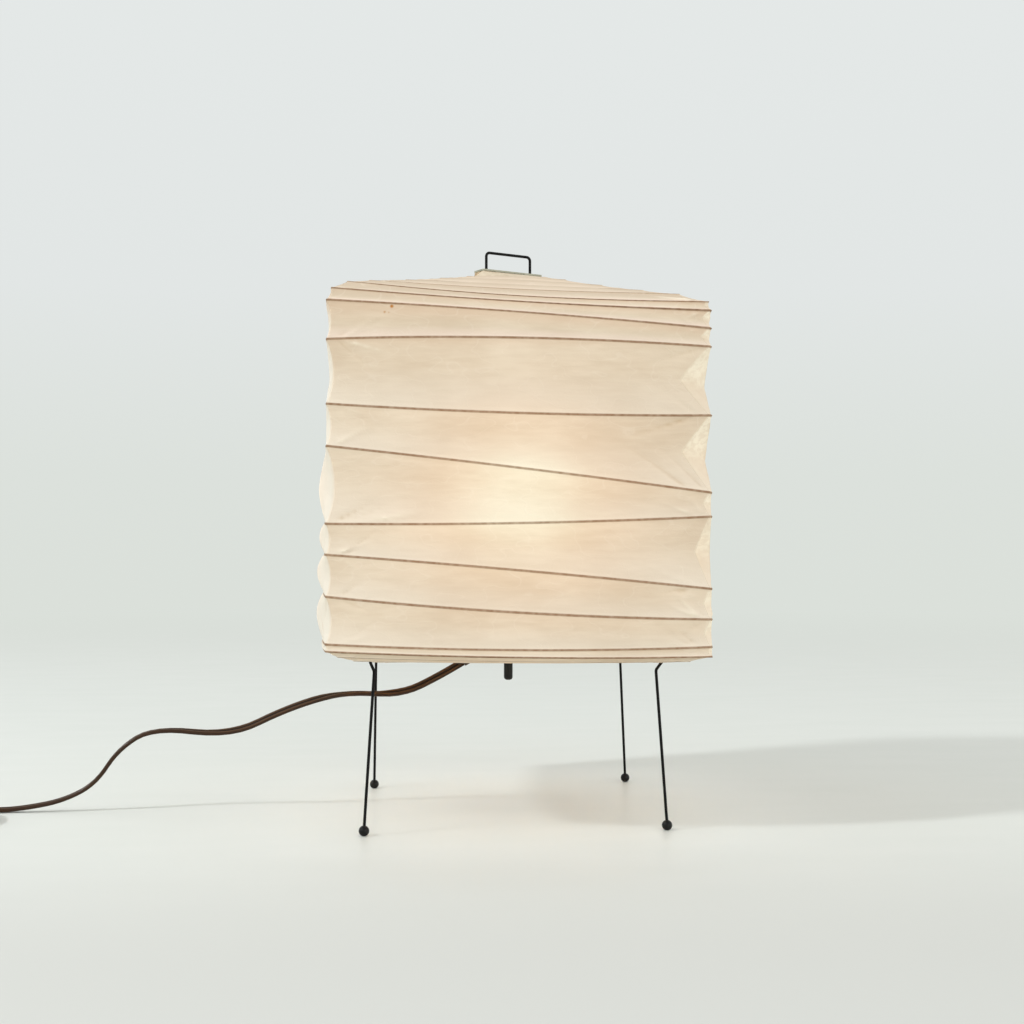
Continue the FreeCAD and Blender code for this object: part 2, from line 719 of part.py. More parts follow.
# Rotary switch
rotor_z = floor_z + rotor_lift
shaft_low = housing_low - knob_gap - knob_depth
knob_high = housing_low - knob_gap
knob_low = knob_high - knob_h
save("switch_shaft", cylinder(shaft_r, shaft_low, rotor_z + rotor_h))
knob = cylinder(knob_r, knob_low, knob_high)
knob = knob.makeFillet(knob_round, [e for e in knob.Edges if e.BoundBox.ZMax < knob_low + 1e-3])
save("switch_knob", knob.cut(cylinder(shaft_r + fit_gap, shaft_low, knob_high + 1)))
rotor = ring(rotor_r, shaft_r + fit_gap, rotor_z, rotor_z + rotor_h)
save("switch_rotor", rotor)
springs = []
terminals = []
for side in (-1, 1):
    near = rotor_r + spring_gap
    low_y = near if side > 0 else -near - spring_t
    springs.append(Part.makeBox(spring_w, spring_t, spring_h, Vector(-spring_w / 2, low_y, floor_z)))
    start = Vector(0, side * (near + spring_t), floor_z + spring_h - terminal_r)
    terminals.append(Part.makeCylinder(terminal_r, terminal_l, start, Vector(0, side, 0)))
save("contact_springs", Part.makeCompound(springs))
save("terminal_screws", Part.makeCompound(terminals))

# Bulb
cap_in = cap_r - cap_ridge - cap_wall
neck_r = cap_in - fit_gap
shoulder_z = cap_z + insulator_h
ridge_pitch = (cap_h - insulator_h) / (cap_ridges + 1)
cap_points = [(cap_in, cap_top), (cap_in, shoulder_z), (cap_r - cap_ridge, shoulder_z)]
for n in range(cap_ridges):
    z = shoulder_z + ridge_pitch * (n + ridge_slope)
    slope_h = ridge_pitch * ridge_slope
    crest_h = ridge_pitch * ridge_crest
    cap_points += [(cap_r - cap_ridge, z), (cap_r, z + slope_h), (cap_r, z + slope_h + crest_h)]
    cap_points.append((cap_r - cap_ridge, z + 2 * slope_h + crest_h))
cap_points.append((cap_r - cap_ridge, cap_top))
save("bulb_cap", turned(cap_points))
save("bulb_cap_insulator", turned([(0, cap_z), (tip_r, cap_z), (cap_in, shoulder_z), (0, shoulder_z)]))
save("bulb_tip_contact", cylinder(tip_r, tip_z, cap_z))
neck_low = cap_top - neck_depth


def globe(inset):
    # closed outline of the globe and neck, this much inside the outer face of the glass
    radius = bulb_r - inset
    low = math.radians(-neck_angle)
    join = Vector(radius * math.cos(low), 0, bulb_z + radius * math.sin(low))
    tangent = Vector(math.sin(low), 0, -math.cos(low))
    neck = Vector(neck_r - inset, 0, cap_top + neck_show)
    crown = Vector(0, 0, bulb_z + radius)
    side = Vector(radius, 0, bulb_z)
    foot = Vector(neck_r - inset, 0, neck_low)
    curve = biarc(join, tangent, neck, Vector(0, 0, -1))
    above = Vector(radius / root2, 0, bulb_z + radius / root2)
    below = Vector(radius * math.cos(low / 2), 0, bulb_z + radius * math.sin(low / 2))
    edges = [Part.Arc(crown, above, side).toShape(), Part.Arc(side, below, join).toShape()]
    edges += curve
    edges.append(Part.LineSegment(neck, foot).toShape())
    edges.append(Part.LineSegment(foot, Vector(0, 0, neck_low)).toShape())
    edges.append(Part.LineSegment(Vector(0, 0, neck_low), crown).toShape())
    return Part.Face(Part.Wire(edges)).revolve(Vector(0, 0, 0), up, 360)


save("bulb_glass", globe(0).cut(globe(glass)))
flare_r = neck_r - glass - fit_gap
stem_top = neck_low + stem_h
stem_points = [(0, neck_low), (flare_r, neck_low), (flare_r, neck_low + glass)]
stem_points += [(stem_r, neck_low + flare_h + glass), (stem_tip, stem_top), (0, stem_top)]
save("bulb_stem", turned(stem_points))
leads = []
for side in (-1, 1):
    start = Vector(side * lead_at, 0, stem_top)
    end = Vector(side * filament_half, 0, bulb_z - filament_rise)
    bend = Vector(side * lead_at, 0, stem_top + lead_rise)
    leads.append(tube(rounded_path([start, bend, end], [lead_bend]), lead_r))
save("bulb_support_wires", Part.makeCompound(leads))
fil_low = bulb_z - filament_rise + filament_r + lead_r
filament_ends = [Vector(s * (filament_half - lead_r), 0, fil_low) for s in (-1, 1)]
filament_arc = Part.Arc(filament_ends[0], Vector(0, 0, fil_low + filament_rise), filament_ends[1]).toShape()
save("bulb_filament", tube([filament_arc], filament_r))

# Lead: free stretch, coil and tie
coil_r = coil_inner + coil_pitch * coil_quarters / 8
route = [Vector(cord_start.x - reach, place, cord_start.z * share) for reach, place, share in cord_route]
coil_x = route[-1].x - coil_reach
coil_y = route[-1].y - coil_r
coil_entry = Vector(coil_x + 2 * cord_r, coil_y + coil_r, coil_low)
route.append(coil_entry)
route_bends = []
for before, at, after in zip(route, route[1:], route[2:]):
    half_turn = (at - before).getAngle(after - at) / 2
    run = min((at - before).Length, (after - at).Length)
    route_bends.append(bend_share * run / math.tan(half_turn))
print("cord_free radii", [round(r) for r in route_bends])
free_edges = rounded_path(route, route_bends)
free_length = sum(e.Length for e in free_edges)
free = tube(free_edges, cord_r)
save("cord_free", free)
filled = free.Volume / (free_length * math.pi * cord_r**2)
print("cord_free length", round(free_length), "volume ratio", round(filled, 4))


def coil_point(phi):
    # phi is 0 where the spiral reverses; the first quarter turn starts in +Y
    radius = coil_inner + coil_pitch * abs(phi) / (2 * math.pi)
    angle = math.pi / 2 + phi + coil_quarters * math.pi / 4
    climb = min(max(phi / math.pi + 0.5, 0.0), 1.0)
    z = coil_low + coil_pitch * (1 - math.cos(math.pi * climb)) / 2
    return Vector(coil_x + radius * math.cos(angle), coil_y + radius * math.sin(angle), z)


coil_nodes = []
nudge = 0.01
for q in range(coil_quarters + 1):
    phi = (q - coil_quarters / 2) * math.pi / 2
    heading = (coil_point(phi + nudge) - coil_point(phi - nudge)).normalize()
    coil_nodes.append([coil_point(phi), heading])
coil_nodes[0][1] = Vector(-1, 0, 0)
coil_nodes[-1][1] = Vector(0, -1, 0)
coil_exit = coil_nodes[-1][0] + Vector(0, -coil_tail, 0)
coil_edges = [Part.LineSegment(coil_entry, coil_nodes[0][0]).toShape()]
for (p0, t0), (p1, t1) in zip(coil_nodes, coil_nodes[1:]):
    coil_edges += biarc(p0, t0, p1, t1)
coil_edges.append(Part.LineSegment(coil_nodes[-1][0], coil_exit).toShape())
save("cord_coil", tube(coil_edges, cord_r))
least_gap("cord_coil", coil_edges, cord_r)
coil_length = sum(e.Length for e in coil_edges)
print("cord length", round(free_length + coil_length), "coil turns", coil_quarters / 4)
tie_in = coil_inner - cord_r - tie_gap
tie_out = coil_r + cord_r + tie_gap
tie_high = coil_high + cord_r + tie_gap
tie_span = tie_out - tie_in
tie = Part.makeBox(tie_span + 2 * tie_t, tie_w, tie_high + tie_t, Vector(tie_in - tie_t, -tie_w / 2, 0))
tie = tie.cut(Part.makeBox(tie_span, 2 * tie_w, tie_high - tie_t, Vector(tie_in, -tie_w, tie_t)))
tie.rotate(Vector(0, 0, 0), up, tie_angle)
tie.translate(Vector(coil_x, coil_y, 0))
save("cord_tie", tie)

# Plug beside the coil
plug_back = coil_exit.y - plug_relief_l
plug_relief = Part.makeCone(plug_relief_tip, plug_relief_r, plug_relief_l, coil_exit, Vector(0, -1, 0))
save("plug_strain_relief", plug_relief)
body = Part.makeBox(plug_w, plug_l, 2 * coil_high, Vector(coil_exit.x - plug_w / 2, plug_back - plug_l, 0))
body = body.makeFillet(plug_round, [e for e in body.Edges if abs(e.tangentAt(0).y) > 0.9])
blades = []
for side in (-1, 1):
    middle = coil_exit.x + side * blade_space / 2
    low = Vector(middle - blade_t / 2, plug_back - plug_l - blade_l, coil_high - blade_w / 2)
    blades.append(Part.makeBox(blade_t, blade_l + blade_root, blade_w, low))
    slot = Part.makeBox(blade_t + 2 * fit_gap, blade_root + 1, blade_w + 2 * fit_gap,
                        low + Vector(-fit_gap, blade_l - 1, -fit_gap))
    body = body.cut(slot)
save("plug_body", body)
save("plug_blades", Part.makeCompound(blades))
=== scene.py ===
import math
import random

import bpy
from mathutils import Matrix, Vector, noise


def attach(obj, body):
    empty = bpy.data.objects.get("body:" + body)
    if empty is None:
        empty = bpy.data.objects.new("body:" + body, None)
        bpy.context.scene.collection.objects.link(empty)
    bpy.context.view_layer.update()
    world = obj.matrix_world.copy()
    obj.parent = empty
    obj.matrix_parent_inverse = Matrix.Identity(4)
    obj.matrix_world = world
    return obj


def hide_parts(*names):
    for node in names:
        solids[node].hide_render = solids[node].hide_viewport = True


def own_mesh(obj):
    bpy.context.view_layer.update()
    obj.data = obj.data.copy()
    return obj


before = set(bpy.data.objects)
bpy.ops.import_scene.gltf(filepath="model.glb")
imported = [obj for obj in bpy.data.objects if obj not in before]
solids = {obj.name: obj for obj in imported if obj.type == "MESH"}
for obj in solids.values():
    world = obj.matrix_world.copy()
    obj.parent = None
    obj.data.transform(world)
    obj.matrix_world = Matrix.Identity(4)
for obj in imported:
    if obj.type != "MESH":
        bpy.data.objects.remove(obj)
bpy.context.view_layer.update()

# Paper lantern table lamp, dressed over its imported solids. Metres, front towards -Y.
scene = bpy.context.scene
mm = 0.001
upWay = Vector((0, 0, 1))
print("frame loaded:", len(solids), "solids")

# Camera at the photograph's place
eye = {"place": (-0.0697, -1.0989, 0.1926), "tilt": 91.1, "turn": -3.77, "lens": 53.156, "sensor": 36.0,
       "nearest": 0.01}
viewCamera = bpy.data.objects.new("viewCamera", bpy.data.cameras.new("viewCamera"))
scene.collection.objects.link(viewCamera)
viewCamera.location = eye["place"]
viewCamera.rotation_euler = (math.radians(eye["tilt"]), 0.0, math.radians(eye["turn"]))
viewCamera.data.lens = eye["lens"]
viewCamera.data.sensor_width = eye["sensor"]
viewCamera.data.clip_start = eye["nearest"]
scene.camera = viewCamera
scene.view_settings.view_transform = "Standard"
print("camera set")


def hump(t):
    return 4 * t * (1 - t)  # none at both ends, 1 in the middle


def mixed(a, b, share):
    return tuple(p + (q - p) * share for p, q in zip(a, b))


def keyed(stops, x):  # smooth reading of (place, value) stops
    if x <= stops[0][0]:
        return stops[0][1]
    for (x0, v0), (x1, v1) in zip(stops, stops[1:]):
        if x <= x1:
            t = (x - x0) / (x1 - x0)
            return v0 + (v1 - v0) * t * t * (3 - 2 * t)
    return stops[-1][1]


def meshPiece(name, points, faces):
    mesh = bpy.data.meshes.new(name)
    mesh.from_pydata(points, [], faces)
    mesh.polygons.foreach_set("use_smooth", [True] * len(mesh.polygons))
    piece = bpy.data.objects.new(name, mesh)
    scene.collection.objects.link(piece)
    return piece


def addMark(piece, label, values):  # a value at each point, which the piece's finish reads
    piece.data.attributes.new(label, "FLOAT", "POINT").data.foreach_set("value", values)


def sweep(name, *runs):  # tubes through sections of equally many points; a run is (sections, True for a ring)
    points = []
    faces = []
    for sections, ring in runs:
        first, wide, count = len(points), len(sections[0]), len(sections)
        for k in range(count if ring else count - 1):
            a, b = first + k * wide, first + (k + 1) % count * wide
            for c in range(wide):
                d = (c + 1) % wide
                faces.append((a + c, a + d, b + d, b + c))
        if not ring:
            faces.append(tuple(range(first + wide - 1, first - 1, -1)))
            end = first + (count - 1) * wide
            faces.append(tuple(range(end, end + wide)))
        points += [p for section in sections for p in section]
    return meshPiece(name, points, faces)


def ovalSection(spot, wideWay, thinWay, wide, thin, count, square):  # square 1 is an ellipse, less is boxier
    section = []
    for c in range(count):
        angle = 2 * math.pi * c / count
        x, y = math.cos(angle), math.sin(angle)
        x = math.copysign(abs(x) ** square, x) * wide / 2
        y = math.copysign(abs(y) ** square, y) * thin / 2
        section.append((spot + wideWay * x + thinWay * y) * mm)
    return section


# Lead: flat brown twin lead from the switch housing to its coil beyond the left edge of the view
lead = {
    "width": 0.0056,
    "thick": 0.0030,
    "length": 1.737,
    # each core's outline: points, arc in degrees, and what the groove leaves of the half thickness
    "corePoints": 9, "coreArc": 252.0, "grooveHalf": 0.42,
    "lineSteps": 6,  # steps of the line from one point to the next
    "route": [
        (-33, 0, 105), (-50.6, 0, 94.5), (-78.5, 0.5, 81.2), (-122.4, 1.5, 83.5), (-160.7, 1, 71.8),
        (-199.5, 0, 52.8), (-254.5, -1, 59.5), (-279.3, -1, 43.7), (-294.5, -0.5, 19.7), (-317.4, 0, 7.9),
        (-342.7, -0.5, 3.2), (-362.2, -1.8, 1.7), (-380, -3, 3.7), (-396.4, -3, 3.8),
    ],
    # turn of the flat side about the lead's own line, by place along X; 90 stands it upright
    "twist": [(-0.396, 90), (-0.386, 58), (-0.37, 12), (-0.345, 8), (-0.25, 6), (-0.222, 20), (-0.19, 46),
              (-0.14, 50), (-0.118, 14), (-0.10, 10), (-0.08, 54), (-0.04, 70)],
    "coilTwist": 90,
    # the last two colours are painted shade for the groove and a painted highlight for the strands' crowns
    "dark": (44, 26, 12), "brown": (66, 43, 24), "grooveShade": (20, 11, 5), "strandHighlight": (108, 79, 53),
    "grooveEnds": (0.02, 0.22), "strandHighlightEnds": (0.4, 1.0), "strandHighlightShare": 0.5, "gloss": 0.28, "glossChange": 0.14,
    # scale, stretch and detail of its patches and its fine surface, and that surface's height and strength
    "patch": (90.0, (1, 1, 1), 2.0), "fine": (700.0, (1, 1, 1), 2.0), "fineHeight": (0.0001, 0.5),
}
coil = {"x": -402.0, "y": -46.375, "inner": 24.0, "pitch": 6.2, "low": 3.8, "quarters": 25, "perQuarter": 6,
        "tail": 14.0}


def coilPoint(phi):  # phi is 0 where the spiral turns back outwards on its second layer
    radius = coil["inner"] + coil["pitch"] * abs(phi) / (2 * math.pi)
    angle = math.pi / 2 + phi + coil["quarters"] * math.pi / 4
    climb = min(max(phi / math.pi + 0.5, 0.0), 1.0)
    z = coil["low"] + coil["pitch"] * (1 - math.cos(math.pi * climb)) / 2
    return (coil["x"] + radius * math.cos(angle), coil["y"] + radius * math.sin(angle), z)


leadPoints = list(lead["route"])
coilSteps = coil["quarters"] * coil["perQuarter"]
for k in range(1, coilSteps + 1):
    leadPoints.append(coilPoint((k / coilSteps - 0.5) * coil["quarters"] * math.pi / 2))
coilEnd = leadPoints[-1]
for share in (0.5, 1.0):
    leadPoints.append((coilEnd[0], coilEnd[1] - coil["tail"] * share, coilEnd[2]))

lineData = bpy.data.curves.new("leadLine", "CURVE")
lineData.dimensions = "3D"
lineData.resolution_u = lead["lineSteps"]
leadSpline = lineData.splines.new("NURBS")
leadSpline.points.add(len(leadPoints) - 1)
for spot, p in zip(leadSpline.points, leadPoints):
    spot.co = (p[0] * mm, p[1] * mm, p[2] * mm, 1.0)
leadSpline.order_u = 3
leadSpline.use_endpoint_u = True
leadLine = bpy.data.objects.new("leadLine", lineData)
scene.collection.objects.link(leadLine)
bpy.context.view_layer.update()
lineMesh = bpy.data.meshes.new_from_object(leadLine.evaluated_get(bpy.context.evaluated_depsgraph_get()))
leadPath = [v.co.copy() for v in lineMesh.vertices]
bpy.data.objects.remove(leadLine)
bpy.data.meshes.remove(lineMesh)


def twinOutline():  # two round cores side by side with a groove between them
    r = lead["thick"] / 2
    reach = lead["width"] / 2 - r
    outline = []
    for side in (1, -1):
        for k in range(lead["corePoints"]):
            angle = math.radians(lead["coreArc"] * (k / (lead["corePoints"] - 1) - 0.5))
            outline.append((side * (reach + r * math.cos(angle)), side * r * math.sin(angle)))
        outline.append((0.0, side * lead["grooveHalf"] * r))
    return outline


twin = twinOutline()
coilStart = lead["route"][-1][0] * mm
inCoil = False
leadSections = []
for k, p in enumerate(leadPath):
    ahead = (leadPath[min(k + 1, len(leadPath) - 1)] - leadPath[max(k - 1, 0)]).normalized()
    sideWay = ahead.cross(upWay).normalized()
    riseWay = sideWay.cross(ahead)
    inCoil = inCoil or p.x < coilStart
    turn = math.radians(lead["coilTwist"] if inCoil else keyed(lead["twist"], p.x))
    wideWay = sideWay * math.cos(turn) + riseWay * math.sin(turn)
    thinWay = ahead.cross(wideWay)
    leadSections.append([p + wideWay * a + thinWay * b for a, b in twin])
leadCord = sweep("leadCord", (leadSections, False))
acrossLead = [abs(a) / (lead["width"] / 2) for a, b in twin]  # 0 in the groove, 1 at the edges
addMark(leadCord, "strand", acrossLead * len(leadSections))
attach(leadCord, "stand")
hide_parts("cord_free", "cord_coil")

# Tie around the coil's turns: a paper-covered wire whose two ends are twisted together, in millimetres
tie = {
    "angle": -60.0, "inner": 24.4, "outer": 42.4, "low": 0.4, "high": 13.5, "round": 3.0, "cornerPoints": 6,
    "wide": 3.4, "thick": 0.7, "bandPoints": 12, "bandSquare": 0.5,
    # the two twisted ends
    "tail": 10.0, "tailZ": 8.0, "arch": 3.0, "droop": 1.6, "turns": 1.75, "apart": 0.42, "linePoints": 25,
    "strand": 0.9, "strandPoints": 10, "strandSquare": 0.8,
}
tieAngle = math.radians(tie["angle"])
tieOut = Vector((math.cos(tieAngle), math.sin(tieAngle), 0))
tieSide = upWay.cross(tieOut)
coilMiddle = Vector((coil["x"], coil["y"], 0))
tieLoop = []
tieCorners = [("outer", "high", 0), ("inner", "high", 90), ("inner", "low", 180), ("outer", "low", 270)]
for across, level, start in tieCorners:
    for k in range(tie["cornerPoints"]):
        angle = math.radians(start + 90 * k / (tie["cornerPoints"] - 1))
        reach = tie[across] + tie["round"] * (math.cos(angle) - (1 if across == "outer" else -1))
        z = tie[level] + tie["round"] * (math.sin(angle) - (1 if level == "high" else -1))
        tieLoop.append(coilMiddle + tieOut * reach + upWay * z)
bandSections = []
for k, spot in enumerate(tieLoop):
    ahead = (tieLoop[(k + 1) % len(tieLoop)] - tieLoop[k - 1]).normalized()
    bandSections.append(ovalSection(spot, tieSide, ahead.cross(tieSide), tie["wide"], tie["thick"],
                                    tie["bandPoints"], tie["bandSquare"]))
tieRuns = [(bandSections, True)]
lastSpot = tie["linePoints"] - 1
for phase in (0, math.pi):
    strandLine = []
    for k in range(tie["linePoints"]):
        t = k / lastSpot
        angle = 2 * math.pi * tie["turns"] * t + phase
        rise = tie["tailZ"] + tie["arch"] * (t - t * t * tie["droop"])
        spot = coilMiddle + tieOut * (tie["outer"] + tie["tail"] * t) + upWay * rise
        strandLine.append(spot + (tieSide * math.cos(angle) + upWay * math.sin(angle)) * tie["apart"])
    strandSections = []
    for k, spot in enumerate(strandLine):
        ahead = (strandLine[min(k + 1, lastSpot)] - strandLine[max(k - 1, 0)]).normalized()
        sideWay = ahead.cross(upWay).normalized()
        strandSections.append(ovalSection(spot, sideWay, ahead.cross(sideWay), tie["strand"], tie["strand"],
                                          tie["strandPoints"], tie["strandSquare"]))
    tieRuns.append((strandSections, False))
coilTie = sweep("coilTie", *tieRuns)
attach(coilTie, "stand")
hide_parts("cord_tie")
print("lead made, length", round(sum((b - a).length for a, b in zip(leadPath, leadPath[1:])), 3))

# Paper shade: bands of paper between the turns of the rib, in millimetres until they are meshed
shade = {
    "half": 125.0, "ringZ": 113.5, "height": 238.5, "roof": 29.5, "collar": 25.0, "edge": 98.4,
    "rimRound": 3.0, "thick": 0.4,
    "roofLeft": [0.06, 0.25, 0.49, 0.73, 0.87],
    "roofRight": [0.13, 0.36, 0.61, 0.82, 0.985], "roofDrop": (-4.5, 4.0), "roofArch": (2.0, 2.4),
    "roofSag": [0.0, 0.0, 0.8, 2.2, 3.8],
    "sideLeft": [1.0167, 0.9819, 0.8755, 0.7010, 0.5875, 0.3778, 0.2947, 0.1820, 0.0541, 0.0344],
    "sideRight": [0.9623, 0.9136, 0.8633, 0.6751, 0.4637, 0.3983, 0.2009, 0.1179, 0.0427, 0.0155],
    "underLeft": [0.718, 0.342],
    "underRight": [0.530, 0.286], "underDip": 2.0,
    "sideSag": [2.0, -1.1, -3.0, 2.8, -0.6, 2.0, -1.3, 2.4, 1.8, 0.9],
    # by face: front, right, back, left
    "bowTop": 1.5, "bowLow": [15.0, 10.0, 15.0, 7.0],
    # swell between two ribs by height, as a share of their distance
    "pillow": [[(0, 0.07)], [(250, 0.12), (310, 0.04)], [(0, 0.07)],
               [(170, 0.20), (194, 0.27), (228, 0.13), (300, -0.02)]],
    "crown": 2.6,         # how full the swell is across the width
    "tuck": [0.10, 0.19, 0.12, 0.12],  # how far each corner tucks in, as a share of the same
    # folds at a face's two ends: width as a multiple of the tuck, and width on a rib
    "fold": [((1.05, 0.8), (2.3, 1.2)), ((3.8, 3.0), (4.0, 3.0)),
             ((3.0, 3.0), (3.0, 3.0)), ((4.0, 3.0), (7.0, 2.0))],
    # the same widths by height, for the ends (face, 0 left or 1 right) where they change
    "taper": {(0, 1): [(195, 0.5), (255, 0.85), (300, 1.0)], (1, 0): [(195, 0.5), (255, 1.0)],
              (3, 1): [(250, 1.0), (310, 2.6)]},
    "vee": 1.1,           # 1 is a sharp V for the fold's crease, 2 an arc
    "softVee": 2.0,
    "softEnds": [(0, 0), (3, 1)],  # ends (face, 0 left or 1 right) whose fold is an arc
    "crumple": 0.6,       # unevenness of the folds
    "bead": 0.35,         # how far the paper stands up over the rib
    "roofBead": 0.6,      # and further on the roof, away from its corners
    "beadWidth": 1.5,
    "nearRib": [0.0, 0.75, 1.5],
    "rowsPerHalf": 10,
    "columns": 92,
    "evenColumns": 0.4,   # the rest of the columns' spacing is closer towards the corners
    "foldColumns": [0.0, 0.3, 0.6, 0.85],
    "sharpFrom": 30.0,    # degrees
    "wrinkle": 1.5,       # height of the small creases
    "seed": 11,
}
# Unevenness of the paper
relief = {
    "closeRows": 5.0,     # a band of less than twice this height has its rows closer to the ribs
    "beadRamp": 20.0,     # way from a corner over which the roof's bead grows
    "calmRib": 6.0, "calmCorner": 12.0,  # nearer than this to a rib or a corner the waves fade
    "waves": [(0.35, 3.0, 46.0), (0.18, 4.0, 15.0)],  # height, squeeze in Z and length
    "crumpleRib": 5.0, "crumpleLength": 7.0,
    # creases that fan out from the ends of the ribs: how many, their share that starts at the lower rib,
    # angle, length as a multiple of the band's height, and start
    "creases": (3, 6), "fromLow": 0.6, "fanAngle": (14, 42), "fanReach": (0.8, 1.7), "fanInset": (2, 14),
    "leastBand": 6, "longest": 70,
    "creaseWidth": 1.4, "creaseStart": 6.0, "creaseRib": 3.0,
    "noRib": 9.0,         # distance to a rib that stands for none at all
}
rimZ = shade["ringZ"] + shade["height"]
collarPoint = (shade["collar"], rimZ + shade["roof"])
edgePoint = (shade["edge"], shade["ringZ"])


def cornerTurns(roof, side, under, drop, arch):
    turns = []
    for share in roof:
        half, z = mixed(collarPoint, (shade["half"], rimZ - drop), share)
        turns.append((half, z + arch * hump(share ** 4)))
    turns += [(shade["half"], shade["ringZ"] + shade["height"] * share) for share in side]
    lowest = turns[-1]
    for share in under:
        half, z = mixed(edgePoint, lowest, share)
        turns.append((half, z - shade["underDip"] * hump(share)))
    return turns


leftTurns = cornerTurns(shade["roofLeft"], shade["sideLeft"], shade["underLeft"],
                        shade["roofDrop"][0], shade["roofArch"][0])
firstSide = len(shade["roofLeft"])
leftTurns[firstSide] = (shade["half"] - shade["rimRound"], leftTurns[firstSide][1])
rightTurns = cornerTurns(shade["roofRight"], shade["sideRight"], shade["underRight"],
                         shade["roofDrop"][1], shade["roofArch"][1])
turnSag = [0.0] + shade["roofSag"] + shade["sideSag"] + [0.0] * (len(shade["underLeft"]) + 1)
nextLeft = leftTurns[1:] + [edgePoint]
turnLists = [leftTurns, rightTurns,
             [mixed(a, b, 1 / 3) for a, b in zip(rightTurns, nextLeft)],
             [mixed(a, b, 2 / 3) for a, b in zip(rightTurns, nextLeft)]]
profiles = [[collarPoint] + turns + [edgePoint] for turns in turnLists]
cornerWays = [Vector((-1, -1, 0)), Vector((1, -1, 0)), Vector((1, 1, 0)), Vector((-1, 1, 0))]
lastLine = len(leftTurns) + 1


def faceLines(face):  # lines from corner to corner, collar to hoop; the left face steps down one turn
    left, right = face, (face + 1) % 4
    pairs = [(i, i) for i in range(lastLine + 1)]
    if face == 3:
        pairs = [(0, 0)] + [(i, i + 1) for i in range(lastLine)] + [(lastLine, lastLine)]
    lines = []
    for i, j in pairs:
        a, b = profiles[left][i], profiles[right][j]
        half, z = mixed(a, b, 0.5)
        low = min(max((rimZ - z) / shade["height"], 0.0), 1.0)
        bow = (shade["bowTop"] + (shade["bowLow"][face] - shade["bowTop"]) * low) * half / shade["half"]
        lines.append({"left": cornerWays[left] * a[0] + upWay * a[1],
                      "right": cornerWays[right] * b[0] + upWay * b[1],
                      "half": half, "z": z, "sag": turnSag[i], "edge": not 0 < i < lastLine,
                      "bow": bow if 0 < i < lastLine else 0.0})
    return lines


def faceNormal(face):
    return (cornerWays[face] + cornerWays[(face + 1) % 4]).normalized()


def swellOf(face, upper, lower):  # outward way of a band of paper, and how upright it stands
    across, down = lower["half"] - upper["half"], lower["z"] - upper["z"]
    size = max(math.hypot(across, down), 1e-6)
    return faceNormal(face) * (-down / size) + upWay * (across / size), max(-down / size, 0.0)


def rowPlaces(size):  # distances from the upper rib to the lower one, close together near both
    half = size / 2
    places = [d * min(1.0, half / relief["closeRows"]) for d in shade["nearRib"]]
    step = (half - places[-1]) / shade["rowsPerHalf"]
    places += [places[-1] + step * (k + 1) for k in range(shade["rowsPerHalf"])]
    return places + [size - d for d in reversed(places[:-1])]


def pinch(along, across, cut):  # a crease's height: across is the distance from its line
    fade = max(0.0, 1 - along / cut) * min(1.0, along / relief["creaseStart"])
    return math.exp(-abs(across) / relief["creaseWidth"]) * fade


def fanCreases(chance, sizes):  # small creases that fan out from the ends of the ribs
    fans = []
    for end, size in enumerate(sizes):
        for count in range(chance.randint(*relief["creases"])):
            fromLow = chance.random() < relief["fromLow"]
            angle = math.radians(chance.uniform(*relief["fanAngle"])) * (-1 if fromLow else 1)
            reach = chance.uniform(*relief["fanReach"]) * max(size, relief["leastBand"])
            reach = min(reach, relief["longest"])
            inset = chance.uniform(*relief["fanInset"])
            fans.append((end, size if fromLow else 0.0, inset, angle, reach, chance.uniform(-1, 1)))
    return fans


